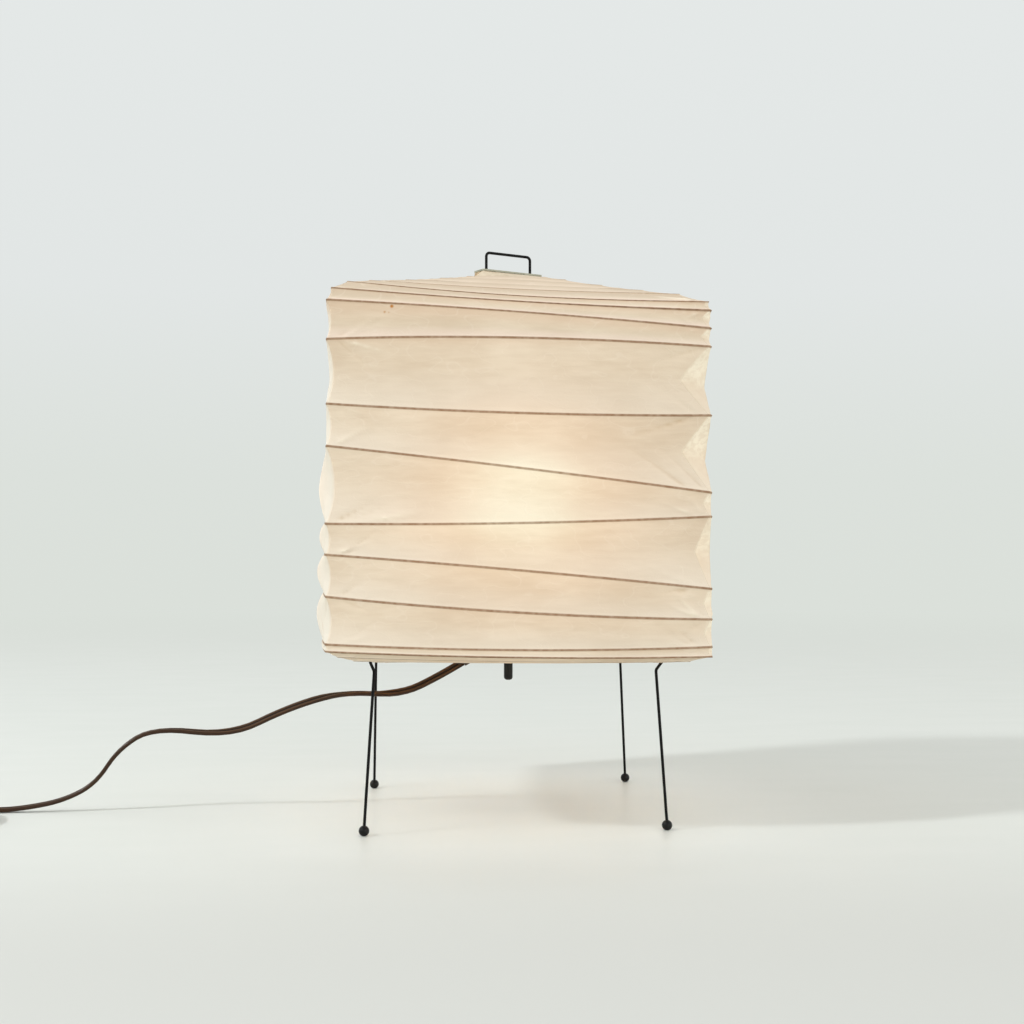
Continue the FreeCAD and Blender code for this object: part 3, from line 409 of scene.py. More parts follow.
mainShares = []
for k in range(shade["columns"] + 1):
    even = k / shade["columns"]
    eased = (1 - math.cos(math.pi * even)) / 2
    mainShares.append(shade["evenColumns"] * even + (1 - shade["evenColumns"]) * eased)
columnList = [(-1, g) for g in shade["foldColumns"]] + [(0, g) for g in mainShares]
columnList += [(1, g) for g in reversed(shade["foldColumns"])]
rowCount = 2 * (len(shade["nearRib"]) - 1 + shade["rowsPerHalf"])
paperPoints = []
paperFaces = []
paperMarks = {"ribDistance": [], "bandPlace": [], "foldLine": [], "facetLight": [], "leftFace": [], "wrinkle": []}
chance = random.Random(shade["seed"])
for face in range(4):
    lines = faceLines(face)
    outLeft, outRight = cornerWays[face], cornerWays[(face + 1) % 4]
    for upper, lower in zip(lines, lines[1:]):
        sizeLeft = (lower["left"] - upper["left"]).length
        sizeRight = (lower["right"] - upper["right"]).length
        swellWay, upright = swellOf(face, upper, lower)
        middleZ = (upper["z"] + lower["z"]) / 2
        swell = keyed(shade["pillow"][face], middleZ) * (sizeLeft + sizeRight) / 2
        tuckLeft = shade["tuck"][face] * sizeLeft * upright
        tuckRight = shade["tuck"][(face + 1) % 4] * sizeRight * upright
        (spreadLeft, edgeLeft), (spreadRight, edgeRight) = shade["fold"][face]
        softLeft, softRight = (face, 0) in shade["softEnds"], (face, 1) in shade["softEnds"]
        veeLeft = shade["softVee"] if softLeft else shade["vee"]
        veeRight = shade["softVee"] if softRight else shade["vee"]
        spreadLeft *= keyed(shade["taper"].get((face, 0), [(0, 1.0)]), middleZ)
        spreadRight *= keyed(shade["taper"].get((face, 1), [(0, 1.0)]), middleZ)
        roofBead = shade["roofBead"] * (1 - upright) if upper["z"] > rimZ else 0.0
        fans = fanCreases(chance, (sizeLeft, sizeRight))
        base = len(paperPoints)
        for zone, g in columnList:
            share = 0.0 if zone < 0 else 1.0 if zone > 0 else g
            size = sizeLeft + (sizeRight - sizeLeft) * share
            for r, place in enumerate(rowPlaces(size)):
                t = place / size if size > 1e-6 else r / rowCount
                arch = hump(t)
                a, b = upper["left"].lerp(lower["left"], t), upper["right"].lerp(lower["right"], t)
                width = (b - a).length
                foldLeft = (edgeLeft + spreadLeft * tuckLeft * (1 - abs(2 * t - 1) ** veeLeft)) / width
                foldRight = (edgeRight + spreadRight * tuckRight * (1 - abs(2 * t - 1) ** veeRight)) / width
                s = foldLeft + (1 - foldLeft - foldRight) * g
                if zone:
                    s = foldLeft * g if zone < 0 else 1 - foldRight * g
                bow = faceNormal(face) * (upper["bow"] + (lower["bow"] - upper["bow"]) * t)
                bow -= upWay * (upper["sag"] + (lower["sag"] - upper["sag"]) * t)
                point = a.lerp(b, s) + bow * hump(s)
                if zone < 0:
                    point -= outLeft * (tuckLeft * arch * (1 - g))
                elif zone > 0:
                    point -= outRight * (tuckRight * arch * (1 - g))
                else:
                    point += swellWay * (swell * arch * (1 - abs(2 * g - 1) ** shade["crown"]))
                near = min(place, size - place)
                onEdge = (upper["edge"] and place < size / 2) or (lower["edge"] and place > size / 2)
                fromCorner = min(s, 1 - s) * width
                out = 0.0
                if not onEdge:
                    bead = shade["bead"] + roofBead * min(1.0, fromCorner / relief["beadRamp"])
                    out += bead * max(0.0, 1 - (near / shade["beadWidth"]) ** 2)
                calm = min(1.0, near / relief["calmRib"]) * min(1.0, fromCorner / relief["calmCorner"])
                for tallness, squeeze, length in relief["waves"]:
                    spot = Vector((point.x, point.y, point.z * squeeze)) / length
                    out += tallness * calm * noise.noise(spot)
                if zone:
                    rough = noise.noise(point / relief["crumpleLength"]) * hump(g)
                    out += shade["crumple"] * min(1.0, near / relief["crumpleRib"]) * rough
                wrinkled = 0.0
                for end, start, inset, angle, reach, lift in fans:
                    fromEnd = (1 - s if end else s) * width - inset
                    if 0 < fromEnd < reach:
                        along = fromEnd * math.cos(angle) + (place - start) * math.sin(angle)
                        across = (place - start) * math.cos(angle) - fromEnd * math.sin(angle)
                        hold = min(1.0, near / relief["creaseRib"])
                        crease = lift * hold * pinch(max(along, 0.0), across, reach)
                        out += shade["wrinkle"] * crease
                        wrinkled += crease
                paperPoints.append((point + swellWay * out) * mm)
                paperMarks["ribDistance"].append(relief["noRib"] if onEdge else near)
                paperMarks["bandPlace"].append(t)
                paperMarks["wrinkle"].append(wrinkled)
                onFold = zone == 0 and g in (0.0, 1.0)
                soft = softLeft if s < 0.5 else softRight
                paperMarks["foldLine"].append(1.0 if onFold and not soft else 0.0)
                # where painted light goes on the fold facets
                paperMarks["facetLight"].append(upright if (zone or onFold) and not soft else 0.0)
                paperMarks["leftFace"].append(1.0 if face == 3 else 0.0)
        tall = rowCount + 1
        for c in range(len(columnList) - 1):
            for r in range(rowCount):
                k = base + c * tall + r
                paperFaces.append((k, k + 1, k + tall + 1, k + tall))
paperShade = meshPiece("paperShade", paperPoints, paperFaces)
for label, values in paperMarks.items():
    addMark(paperShade, label, values)
weldGap = 0.00002  # points closer than this become one


def withModifier(piece, kind, settings):
    modifier = piece.modifiers.new(kind.lower(), kind)
    for key, value in settings.items():
        setattr(modifier, key, value)
    bpy.context.view_layer.update()
    done = bpy.data.meshes.new_from_object(piece.evaluated_get(bpy.context.evaluated_depsgraph_get()))
    piece.modifiers.clear()
    piece.data = done


withModifier(paperShade, "WELD", {"merge_threshold": weldGap})
withModifier(paperShade, "SOLIDIFY", {"thickness": shade["thick"] * mm, "offset": -1.0, "use_rim": True})
creases = [mark.value > 0.5 for mark in paperShade.data.attributes["foldLine"].data]
paperShade.data.set_sharp_from_angle(angle=math.radians(shade["sharpFrom"]))
for edge in paperShade.data.edges:
    if creases[edge.vertices[0]] and creases[edge.vertices[1]]:
        edge.use_edge_sharp = True
print("paper shade made:", len(paperShade.data.polygons), "faces")

# Bamboo rib: one split strip wound under the paper, from the collar down to the hoop
rib = {"wide": 2.0, "deep": 1.4, "inset": 1.3, "setback": 7.0, "perFace": 26, "corner": 4,
       "points": 10, "square": 0.6, "uneven": 0.06, "unevenLength": 23.0}
ribPath = []
ribStops = [(3, 1)] + [(face, k + (face == 3)) for k in range(1, lastLine) for face in range(4)]
ribStops = ribStops[:-2]  # it ends on the last stretch of the right face
allLines = [faceLines(face) for face in range(4)]
stretches = []
for face, i in ribStops:
    line = allLines[face][i]
    above = swellOf(face, allLines[face][i - 1], line)[0]
    below = swellOf(face, line, allLines[face][i + 1])[0]
    out = (above + below).normalized()
    span = (line["right"] - line["left"]).length
    bow = faceNormal(face) * line["bow"] - upWay * line["sag"]
    stretch = []
    for k in range(rib["perFace"] + 1):
        s = rib["setback"] / span + (1 - 2 * rib["setback"] / span) * k / rib["perFace"]
        spot = line["left"].lerp(line["right"], s) + bow * hump(s)
        stretch.append((spot - out * rib["inset"], out))
    stretches.append((stretch, line["right"] - out * rib["inset"]))
for (stretch, corner), following in zip(stretches, stretches[1:] + [None]):
    ribPath += stretch
    if following:
        a, b = stretch[-1], following[0][0]
        for k in range(1, rib["corner"]):
            t = k / rib["corner"]
            spot = a[0] * (1 - t) ** 2 + corner * (2 * t * (1 - t)) + b[0] * t * t
            ribPath.append((spot, (a[1] * (1 - t) + b[1] * t).normalized()))
ribSections = []
for k, (spot, out) in enumerate(ribPath):
    ahead = (ribPath[min(k + 1, len(ribPath) - 1)][0] - ribPath[max(k - 1, 0)][0]).normalized()
    wideWay = out.cross(ahead).normalized()
    deepWay = ahead.cross(wideWay)
    uneven = 1 + rib["uneven"] * noise.noise(spot / rib["unevenLength"])
    ribSections.append(ovalSection(spot, wideWay, deepWay, rib["wide"] * uneven, rib["deep"] * uneven,
                                   rib["points"], rib["square"]))
bambooStrip = sweep("bambooStrip", (ribSections, False))
print("bamboo strip made:", len(ribPath), "points")

# Shade pieces ride on the stand in place of the paper and rib solids
paperNodes = [kind + "_paper_" + side for kind in ("roof", "side", "underside")
              for side in ("front", "right", "back", "left")]
shadePieces = [(paperShade, "paper", paperNodes), (bambooStrip, "bamboo", ["bamboo_rib"])]
for piece, finishSlot, nodeNames in shadePieces:
    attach(piece, "stand")
    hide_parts(*nodeNames)
    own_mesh(piece)


class Wire:  # one output of a node; sums of wires add Math nodes
    def __init__(self, finish, out):
        self.finish = finish
        self.out = out

    def sum(self, operation, *terms):
        return self.finish.node("Math", {"operation": operation}, dict(enumerate(terms)))

    def __add__(self, other):
        return self.sum("ADD", self, other)

    def __radd__(self, other):
        return self.sum("ADD", other, self)

    def __sub__(self, other):
        return self.sum("SUBTRACT", self, other)

    def __rsub__(self, other):
        return self.sum("SUBTRACT", other, self)

    def __mul__(self, other):
        return self.sum("MULTIPLY", self, other)

    def __rmul__(self, other):
        return self.sum("MULTIPLY", other, self)

    def __truediv__(self, other):
        return self.sum("DIVIDE", self, other)

    def __rtruediv__(self, other):
        return self.sum("DIVIDE", other, self)

    def __pow__(self, other):
        return self.sum("POWER", self, other)

    def __abs__(self):
        return self.sum("ABSOLUTE", self)


def tone(red, green, blue):  # a screen colour of 0 to 255 as Blender's own
    parts = [c / 255 for c in (red, green, blue)]
    return tuple(c / 12.92 if c <= 0.04045 else ((c + 0.055) / 1.055) ** 2.4 for c in parts) + (1.0,)


class Finish:  # one material and the nodes behind its shader
    def __init__(self, name, **fixed):
        self.material = bpy.data.materials.new(name)
        self.material.use_nodes = True
        self.tree = self.material.node_tree
        self.shader = self.tree.nodes["Principled BSDF"]
        for socket, value in fixed.items():
            self.shader.inputs[socket.replace("_", " ")].default_value = value

    def put(self, socket, value):
        if isinstance(value, Wire):
            self.tree.links.new(value.out, socket)
        else:
            socket.default_value = value

    def node(self, kind, settings=None, inputs=None, out=0):
        made = self.tree.nodes.new("ShaderNode" + kind)
        for key, value in (settings or {}).items():
            if key == "stops":
                for k, (spot, colour) in enumerate(value):
                    stop = made.color_ramp.elements[k] if k < 2 else made.color_ramp.elements.new(spot)
                    stop.position = spot
                    stop.color = colour
            else:
                setattr(made, key, value)
        for key, value in (inputs or {}).items():
            self.put(made.inputs[key], value)
        return Wire(self, made.outputs[out])

    def place(self):
        return self.node("TexCoord", out="Object")

    def mark(self, label):
        return self.node("Attribute", {"attribute_name": label}, out="Fac")

    def vector(self, operation, a, b, out=0):
        return self.node("VectorMath", {"operation": operation}, {0: a, 1: b}, out)

    def blend(self, factor, a, b, way="MIX"):
        return self.node("Mix", {"data_type": "RGBA", "blend_type": way}, {0: factor, 6: a, 7: b}, 2)

    def grain(self, scale, stretch=(1, 1, 1), detail=3.0, rough=0.55):
        where = self.vector("MULTIPLY", self.place(), stretch)
        limits = {"Vector": where, "Scale": scale, "Detail": detail, "Roughness": rough}
        return self.node("TexNoise", None, limits)

    def ease(self, value, low, high):
        limits = {"Value": value, "From Min": low, "From Max": high}
        return self.node("MapRange", {"interpolation_type": "SMOOTHSTEP"}, limits)

    def feed(self, socket, value):
        self.put(self.shader.inputs[socket], value)

    def bump(self, height, distance, strength=1.0):
        limits = {"Strength": strength, "Distance": distance, "Height": height}
        self.feed("Normal", self.node("Bump", None, limits))


# Paper: cream washi with fibres, brown where the rib shows through, warm around the bulb
washi = {
    "deep": tone(215, 194, 169), "pale": tone(228, 210, 187), "low": tone(238, 224, 207),
    # the crease colour below is painted shade along the fold lines and in sunken wrinkles
    "ribBrown": tone(152, 121, 95), "stain": tone(184, 122, 58), "crease": tone(198, 172, 138),
    # the next three are painted: shade over the rim and roof, light on the left face, and light on the fold
    # facets and wrinkle ridges
    "topShade": tone(207, 188, 165), "litLeftFace": tone(230, 221, 207), "facetLight": tone(243, 231, 210),
    "shadeUnderRib": tone(212, 181, 153), "lightOverRib": tone(246, 222, 207),  # painted shade under a rib and a painted highlight over the next, near the rim
    # how much of each shows
    "lowShare": 0.6, "litLeftFaceShare": 0.85, "topShadeShare": 0.8, "rimShare": 0.5, "fibreShare": 0.16,
    "creaseShare": 0.25, "wrinkleHighlight": 0.55, "wrinkleShade": 0.45,
    # heights over which some come in, or go again
    "highEnds": (0.29, 0.345), "topShadeEnds": (0.343, 0.353),
    "rimEnds": (0.316, 0.326), "roofEnds": (0.347, 0.357),
    # places in a band over which they change: 0 at its upper rib, 1 at its lower one
    "lowBand": (0.25, 1.0), "lowShift": 0.25, "topShadeBand": (0.45, 1.0), "topShadeLess": 0.6, "roofLess": 0.75,
    "shadeUnderRibBand": (0.05, 0.6), "lightOverRibBand": (0.6, 0.95), "facetBand": (0.3, 0.65), "facetLess": 0.8,
    "ribEnds": (0.45, 1.1),  # millimetres from the rib
    "wrinkleEnds": (0.1, 0.7), "fibreWidth": 0.018,
    # glow of the bulb, by the distance from it
    "bulb": (0.0, 0.0, 0.211), "haloReach": 0.140, "haloFocus": 8.0, "halo": (0.12, 0.036, 0.0, 1.0),
    "coreReach": 0.136, "coreFocus": 22.0, "core": (0.09, 0.175, 0.15, 1.0), "glowEnds": (0.0, 1.1),
    "ribShade": 0.55, "shineLeast": 0.9, "shineChange": 0.2,
    # scale, stretch and detail of the uneven patches
    "cloud": (14.0, (1, 1, 1), 2.0), "streak": (55.0, (1, 1, 6), 4.0), "thread": (42.0, (1, 1, 1.8), 1.0),
    "fine": (900.0, (1, 1, 1), 2.0), "ribPatch": (300.0, (1, 1, 1), 1.0),
    "crumple": (130.0, (1, 1, 2.5), 2.0),
    "cloudShare": 0.6, "streakShare": 0.4, "patchEnds": (0.3, 0.7), "cloudLeast": 0.5,
    "ribLeast": 0.6, "ribChange": 0.6, "creaseEnds": (0.45, 1.0),
    "crumpleEnds": (0.4, 0.6), "facetLeast": 0.65, "facetChange": 0.45,
    # the paper's surface: shares of fine grain, streaks and fibres, and its height and strength
    "surface": (0.35, 0.5, 0.15), "surfaceHeight": (0.0004, 0.5),
    # small stains on the front: X, Z and size
    "stains": [(-0.0831, 0.3435, 0.0011), (-0.0876, 0.3396, 0.0009), (-0.0850, 0.3394, 0.0008)],
    "stainY": -0.1262, "stainEnds": (0.4, 1.6),
}
paperFinish = Finish("washiPaper", Roughness=0.9, Specular_IOR_Level=0.15, Emission_Strength=1.0)
cloud = paperFinish.grain(*washi["cloud"])
streak = paperFinish.grain(*washi["streak"])
thread = paperFinish.grain(*washi["thread"])
fibre = 1 - paperFinish.ease(abs(thread - 0.5), 0.0, washi["fibreWidth"])
fine = paperFinish.grain(*washi["fine"])
bandPlace = paperFinish.mark("bandPlace")
patchy = cloud * washi["cloudShare"] + streak * washi["streakShare"]
tint = paperFinish.blend(paperFinish.ease(patchy, *washi["patchEnds"]), washi["deep"], washi["pale"])
where = paperFinish.place()
height = paperFinish.node("SeparateXYZ", None, {0: where}, "Z")
highUp = paperFinish.ease(height, *washi["highEnds"])
# each band is painted paler towards its lower rib, less so high up: painted light
lowBandLight = paperFinish.ease(bandPlace - washi["lowShift"] * highUp, *washi["lowBand"]) * washi["lowShare"]
tint = paperFinish.blend(lowBandLight * (washi["cloudLeast"] + cloud), tint, washi["low"])
# the left face is painted paler and cooler: painted light from the lamp on the left
tint = paperFinish.blend(paperFinish.mark("leftFace") * washi["litLeftFaceShare"], tint, washi["litLeftFace"])
# over the rim and roof the paper is painted darker, most under each rib and less towards the next: painted
# shade
topShadeFade = washi["topShadeLess"] * paperFinish.ease(bandPlace, *washi["topShadeBand"])
topShadeShow = paperFinish.ease(height, *washi["topShadeEnds"]) * (washi["topShadeShare"] - topShadeFade)
tint = paperFinish.blend(topShadeShow, tint, washi["topShade"])
overRim = washi["roofLess"] * paperFinish.ease(height, *washi["roofEnds"])
rimShow = paperFinish.ease(height, *washi["rimEnds"]) * (1 - overRim) * washi["rimShare"]
# near the rim: painted shade just under each rib and a painted highlight just over the next
shadeUnderRibShow = rimShow * (1 - paperFinish.ease(bandPlace, *washi["shadeUnderRibBand"]))
tint = paperFinish.blend(shadeUnderRibShow, tint, washi["shadeUnderRib"])
tint = paperFinish.blend(rimShow * paperFinish.ease(bandPlace, *washi["lightOverRibBand"]), tint, washi["lightOverRib"])
tint = paperFinish.blend(fibre * washi["fibreShare"], tint, washi["low"])
ribNear = paperFinish.mark("ribDistance")
ribPatch = washi["ribLeast"] + washi["ribChange"] * paperFinish.grain(*washi["ribPatch"])
ribShow = (1 - paperFinish.ease(ribNear, *washi["ribEnds"])) * ribPatch
creaseShade = paperFinish.ease(paperFinish.mark("foldLine"), *washi["creaseEnds"])
wrinkle = paperFinish.mark("wrinkle")
crumple = paperFinish.ease(paperFinish.grain(*washi["crumple"]), *washi["crumpleEnds"])
# the fold facets are painted paler, most in each band's upper part and patchy: painted light
facetFade = 1 - washi["facetLess"] * paperFinish.ease(bandPlace, *washi["facetBand"])
facetPatch = washi["facetLeast"] + washi["facetChange"] * crumple
facetLightShow = paperFinish.mark("facetLight") * facetFade * facetPatch
tint = paperFinish.blend(facetLightShow, tint, washi["facetLight"])
# the fold lines are painted darker: painted shade in the creases
tint = paperFinish.blend(creaseShade * washi["creaseShare"], tint, washi["crease"])
# the small creases' ridges are painted pale and their hollows darker: painted highlight and painted shade
raisedHighlight = paperFinish.ease(wrinkle, *washi["wrinkleEnds"])
sunkenShade = paperFinish.ease(0 - wrinkle, *washi["wrinkleEnds"])
tint = paperFinish.blend(raisedHighlight * washi["wrinkleHighlight"], tint, washi["facetLight"])
tint = paperFinish.blend(sunkenShade * washi["wrinkleShade"], tint, washi["crease"])
tint = paperFinish.blend(ribShow, tint, washi["ribBrown"])
for x, z, size in washi["stains"]:
    away = paperFinish.vector("DISTANCE", where, (x, washi["stainY"], z), "Value")
    stainShow = 1 - paperFinish.ease(away / size, *washi["stainEnds"])
    tint = paperFinish.blend(stainShow, tint, washi["stain"])
paperFinish.feed("Base Color", tint)
bulbAway = paperFinish.vector("DISTANCE", where, washi["bulb"], "Value")
shine = (1 - washi["ribShade"] * ribShow) * (washi["shineLeast"] + washi["shineChange"] * cloud)
halo = paperFinish.ease((washi["haloReach"] / bulbAway) ** washi["haloFocus"], *washi["glowEnds"]) * shine
core = paperFinish.ease((washi["coreReach"] / bulbAway) ** washi["coreFocus"], *washi["glowEnds"]) * shine
glow = paperFinish.blend(halo, (0, 0, 0, 1), washi["halo"])
paperFinish.feed("Emission Color", paperFinish.blend(core, glow, washi["core"], "ADD"))
fineDepth, streakDepth, fibreDepth = washi["surface"]
paperFinish.bump(fine * fineDepth + streak * streakDepth + fibre * fibreDepth, *washi["surfaceHeight"])

# Plain finishes: specks among patches, so many times finer, and their share in colour and surface
speckle = {"finer": 7, "inColour": 0.3, "inSurface": 0.6, "ends": (0.3, 0.7), "strength": 0.6}


def mottled(name, dark, light, scale, roughness, bumpHeight, stretch=(1, 1, 1), **fixed):
    # a plain maker's finish: two close colours, uneven gloss and a fine surface
    made = Finish(name, **fixed)
    patch = made.grain(scale, stretch)
    speck = made.grain(scale * speckle["finer"], stretch, detail=2.0)
    colourMix = patch * (1 - speckle["inColour"]) + speck * speckle["inColour"]
    made.feed("Base Color", made.blend(made.ease(colourMix, *speckle["ends"]), dark, light))
    smooth, rough = roughness
    made.feed("Roughness", smooth + (rough - smooth) * patch)
    surface = speck * speckle["inSurface"] + patch * (1 - speckle["inSurface"])
    made.bump(surface, bumpHeight, speckle["strength"])
    return made


# name, dark and light colour, scale of the patches, least and most roughness, height of the fine surface
finishes = {
    "bamboo": mottled("splitBamboo", tone(132, 98, 64), tone(176, 140, 98), 130.0, (0.5, 0.75), 0.0003),
    "black_wire": mottled("blackLacqueredWire", tone(2, 2, 2), tone(9, 9, 8), 160.0, (0.38, 0.52), 0.00006,
                          Specular_IOR_Level=0.15),
    "black_ball": mottled("blackBall", tone(2, 2, 2), tone(9, 9, 8), 220.0, (0.26, 0.42), 0.00006,
                          Specular_IOR_Level=0.25),
    "hoop_steel": mottled("paperWrappedHoop", tone(206, 186, 160), tone(224, 206, 182), 220.0, (0.85, 0.95),
                          0.0002),
    "hub_steel": mottled("blackHub", tone(22, 22, 22), tone(40, 39, 37), 110.0, (0.38, 0.55), 0.00005),
    "plate_steel": mottled("greyPlate", tone(146, 146, 128), tone(176, 175, 158), 120.0, (0.42, 0.62),
                           0.00008, (1, 5, 1), Metallic=0.2),
    "board": mottled("collarBoard", tone(205, 186, 158), tone(228, 212, 188), 180.0, (0.85, 0.95), 0.0002),
    "holder_plastic": mottled("brownBlackPhenolic", tone(30, 24, 20), tone(50, 40, 33), 90.0, (0.3, 0.48),
                              0.00006),
    "relief_rubber": mottled("brownRubber", tone(44, 30, 22), tone(66, 47, 36), 150.0, (0.5, 0.68), 0.00008),
    "ceramic": mottled("bareCeramic", tone(222, 216, 204), tone(238, 233, 224), 100.0, (0.55, 0.75), 0.0001),
    "brass": mottled("brassSheet", tone(166, 128, 66), tone(206, 168, 98), 130.0, (0.28, 0.5), 0.00006,
                     Metallic=1.0),
    "screw_steel": mottled("zincScrew", tone(150, 150, 148), tone(190, 190, 188), 200.0, (0.3, 0.5), 0.00005,
                           Metallic=1.0),
    "knob_plastic": mottled("oliveBlackKnob", tone(14, 14, 9), tone(30, 28, 20), 120.0, (0.36, 0.55), 0.0001,
                            Specular_IOR_Level=0.3),
    "bulb_metal": mottled("bulbCapMetal", tone(170, 170, 168), tone(206, 206, 204), 160.0, (0.3, 0.5),
                          0.00008, Metallic=1.0),
    "bulb_black_glass": mottled("blackGlass", tone(14, 14, 18), tone(28, 28, 34), 120.0, (0.08, 0.2),
                                0.00003),
    "tie": mottled("paperTie", tone(26, 26, 26), tone(46, 45, 43), 240.0, (0.6, 0.8), 0.0001),
    "plug_plastic": mottled("brownPlug", tone(52, 36, 26), tone(74, 54, 42), 110.0, (0.4, 0.58), 0.00008),
    "plug_brass": mottled("plugBrass", tone(186, 152, 84), tone(216, 184, 116), 140.0, (0.26, 0.44), 0.00005,
                          Metallic=1.0),
}
lit = {"glass": (1.0, 0.86, 0.62, 1.0), "wire": (1.0, 0.62, 0.25, 1.0)}
clear = mottled("clearGlass", tone(240, 236, 226), tone(250, 248, 242), 60.0, (0.05, 0.12), 0.00003,
                Alpha=0.35, Emission_Color=lit["glass"], Emission_Strength=0.6)
tungsten = mottled("tungsten", tone(150, 140, 130), tone(190, 180, 170), 200.0, (0.3, 0.5), 0.00004,
                   Metallic=1.0, Emission_Color=lit["wire"], Emission_Strength=4.0)
# Brown vinyl of the lead: painted shade in its groove and a painted highlight along the crown of each strand
leadFinish = Finish("brownLead", Specular_IOR_Level=0.25)
leadPatch = leadFinish.grain(*lead["patch"])
strand = leadFinish.mark("strand")
leadTint = leadFinish.blend(leadPatch, tone(*lead["dark"]), tone(*lead["brown"]))
# the groove is painted darker: painted shade
grooveShadeShow = 1 - leadFinish.ease(strand, *lead["grooveEnds"])
leadTint = leadFinish.blend(grooveShadeShow, leadTint, tone(*lead["grooveShade"]))
# the crown of each strand is painted paler: painted highlight
strandHighlightShow = leadFinish.ease(1 - 2 * abs(strand - 0.5), *lead["strandHighlightEnds"]) * lead["strandHighlightShare"]
leadTint = leadFinish.blend(strandHighlightShow, leadTint, tone(*lead["strandHighlight"]))
leadFinish.feed("Base Color", leadTint)
leadFinish.feed("Roughness", lead["gloss"] + lead["glossChange"] * leadPatch)
leadFinish.bump(leadFinish.grain(*lead["fine"]), *lead["fineHeight"])
finishes.update({"paper": paperFinish, "bulb_glass": clear, "filament": tungsten, "cord_brown": leadFinish})
print("finishes made:", len(finishes))

# Which solids take which finish
legNames = [part + "_" + place for part in ("leg", "foot")
            for place in ("front_left", "front_right", "back_left", "back_right")]
wearing = {
    "black_wire": legNames[:4] + ["stretcher_left", "stretcher_right", "handle"],
    "black_ball": legNames[4:],
    "hoop_steel": ["bottom_hoop"],
    "hub_steel": ["hub_plate"],
    "plate_steel": ["top_plate"],
    "board": ["top_collar"],
    "holder_plastic": ["switch_housing", "holder_base", "holder_shell"],
    "relief_rubber": ["cord_strain_relief"],
    "ceramic": ["insulating_disc"],
    "brass": ["centre_contact", "side_contact", "screw_shell", "switch_shaft", "contact_springs",
              "terminal_screws", "bulb_tip_contact"],
    "screw_steel": ["fixing_screws"],
    "knob_plastic": ["switch_knob", "switch_rotor"],
    "bulb_metal": ["bulb_cap", "bulb_support_wires"],
    "bulb_black_glass": ["bulb_cap_insulator"],
    "bulb_glass": ["bulb_glass", "bulb_stem"],
    "filament": ["bulb_filament"],
    "tie": ["cord_tie"],
    "plug_plastic": ["plug_strain_relief", "plug_body"],
    "plug_brass": ["plug_blades"],
    "bamboo": ["bamboo_rib"],
    "paper": paperNodes,
    "cord_brown": ["cord_free", "cord_coil"],
}


def wear(piece, finish):
    piece.data.materials.clear()
    piece.data.materials.append(finish.material)


for slotName, names in wearing.items():
    for name in names:
        wear(solids[name], finishes[slotName])
ownPieces = [(paperShade, "paper"), (bambooStrip, "bamboo"), (leadCord, "cord_brown"), (coilTie, "tie")]
for piece, slotName in ownPieces:
    wear(piece, finishes[slotName])
unpainted = sorted(set(solids) - {n for names in wearing.values() for n in names})
print("finishes given; left over:", unpainted)

# Pale floor that rises into a far backdrop, a light from the left and two weaker ones from the right
studio = {
    "floor": tone(229, 230, 225), "floorDim": tone(223, 225, 219),
    "patches": (9.0, (1, 3, 1), 4.0),  # scale, stretch and detail
    "front": tone(213, 213, 208), "frontEnds": (0.05, 0.42),  # painted shade, a little darker towards the viewer
    "gloss": (0.36, 0.85), "glossEnds": (0.18, 0.32),
    "farEnds": (0.9, 3.2),  # distance over which the floor passes into the backdrop
    # outline of floor and backdrop: distance from the lamp and height
    "bowl": [(0.0, 0.0), (1.0, 0.0), (3.5, 0.0), (5.0, 0.4), (6.0, 1.6), (6.3, 4.0), (6.3, 9.0)],
    "around": 64,
    # colours of the backdrop by height
    "heights": [(0.0, tone(219, 224, 218)), (0.45, tone(220, 225, 220)), (1.3, tone(226, 230, 229)),
                (3.2, tone(229, 233, 232))],
    "sky": 0.75,
    "aim": (0, 0, 0.15),
    # place, size, watts and colour of each light
    "lamps": {"keyLight": ((-2.67, -1.04, 2.08), 0.28, 50.0, (0.92, 0.97, 1.0)),
              "frontLight": ((2.35, -3.45, 0.85), 1.4, 32.0, (1.0, 0.98, 0.96)),
              "sideLight": ((3.9, -0.45, 0.75), 1.2, 23.0, (1.0, 0.98, 0.95))},
    "bulb": ((0, 0, 0.216), 0.05, 0.55, (1.0, 0.95, 0.87)),
}
bowlPoints = []
bowlFaces = []
around = studio["around"]
for distance, height in studio["bowl"]:
    for k in range(around):
        angle = 2 * math.pi * k / around
        bowlPoints.append((distance * math.cos(angle), distance * math.sin(angle), height))
for r in range(len(studio["bowl"]) - 1):
    for k in range(around):
        a, b = r * around + k, r * around + (k + 1) % around
        bowlFaces.append((a, a + around, b + around, b))
floor = meshPiece("floor", bowlPoints, bowlFaces)
withModifier(floor, "WELD", {"merge_threshold": weldGap})
floorFinish = Finish("paleFloor", Specular_IOR_Level=0.25)
floorPatch = floorFinish.grain(*studio["patches"])
floorTint = floorFinish.blend(floorPatch, studio["floor"], studio["floorDim"])
depth = floorFinish.node("SeparateXYZ", None, {0: floorFinish.place()}, "Y")
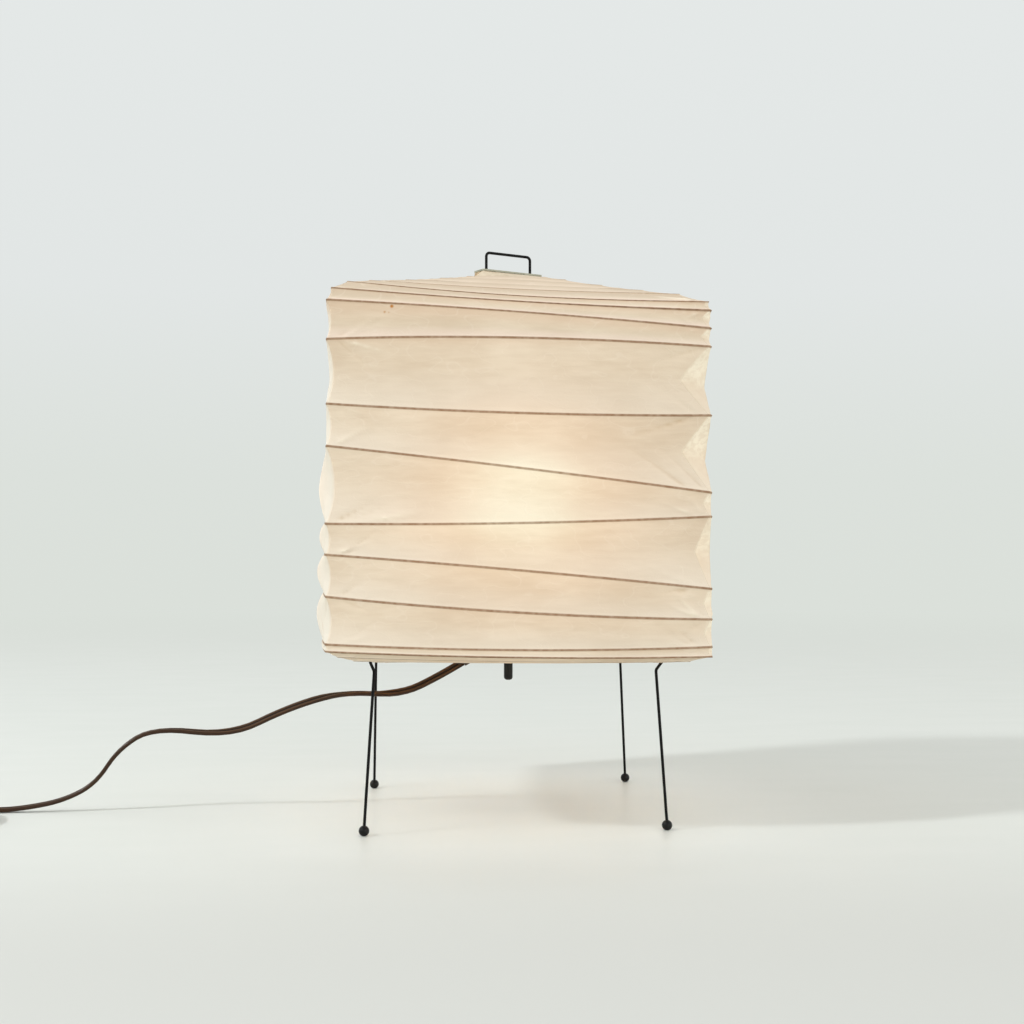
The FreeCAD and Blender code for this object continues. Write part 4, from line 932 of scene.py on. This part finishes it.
# the floor is painted darker towards the viewer: painted shade
frontShade = floorFinish.ease(0 - depth, *studio["frontEnds"])
floorFinish.feed("Base Color", floorFinish.blend(frontShade, floorTint, studio["front"]))
away = floorFinish.vector("LENGTH", floorFinish.place(), (0, 0, 0), "Value")
# glossy under the lamp, where the feet mirror, and dull further out
glossy, dull = studio["gloss"]
floorFinish.feed("Roughness", glossy + (dull - glossy) * floorFinish.ease(away, *studio["glossEnds"]))
farShare = floorFinish.ease(away, *studio["farEnds"])
height = floorFinish.node("SeparateXYZ", None, {0: floorFinish.place()}, "Z")
top = studio["heights"][-1][0]
farColour = floorFinish.node("ValToRGB", {"stops": [(z / top, colour) for z, colour in studio["heights"]]},
                             {0: height / top})
farLight = floorFinish.node("BsdfPrincipled", None, {"Base Color": (0, 0, 0, 1), "Specular IOR Level": 0.0,
                                                    "Emission Color": farColour, "Emission Strength": 1.0})
nearLight = Wire(floorFinish, floorFinish.shader.outputs[0])
floorMix = floorFinish.node("MixShader", None, {0: farShare, 1: nearLight, 2: farLight})
floorFinish.put(floorFinish.tree.nodes["Material Output"].inputs["Surface"], floorMix)
wear(floor, floorFinish)
print("floor and backdrop made")

sky = bpy.data.worlds.new("studioSky")
scene.world = sky
sky.use_nodes = True
sky.node_tree.nodes["Background"].inputs["Color"].default_value = (1.0, 1.0, 1.0, 1.0)
sky.node_tree.nodes["Background"].inputs["Strength"].default_value = studio["sky"]


def lampAt(name, kind, place, watts, settings):
    data = bpy.data.lights.new(name, kind)
    data.energy = watts
    for key, value in settings.items():
        setattr(data, key, value)
    lamp = bpy.data.objects.new(name, data)
    scene.collection.objects.link(lamp)
    lamp.location = place
    lamp.rotation_euler = (Vector(studio["aim"]) - lamp.location).to_track_quat("-Z", "Y").to_euler()
    lamp.visible_camera = False


for name, (place, size, watts, colour) in studio["lamps"].items():
    lampAt(name, "AREA", place, watts, {"size": size, "color": colour})
place, radius, watts, colour = studio["bulb"]
lampAt("bulbLight", "POINT", place, watts, {"shadow_soft_size": radius, "color": colour})
print("lights set")
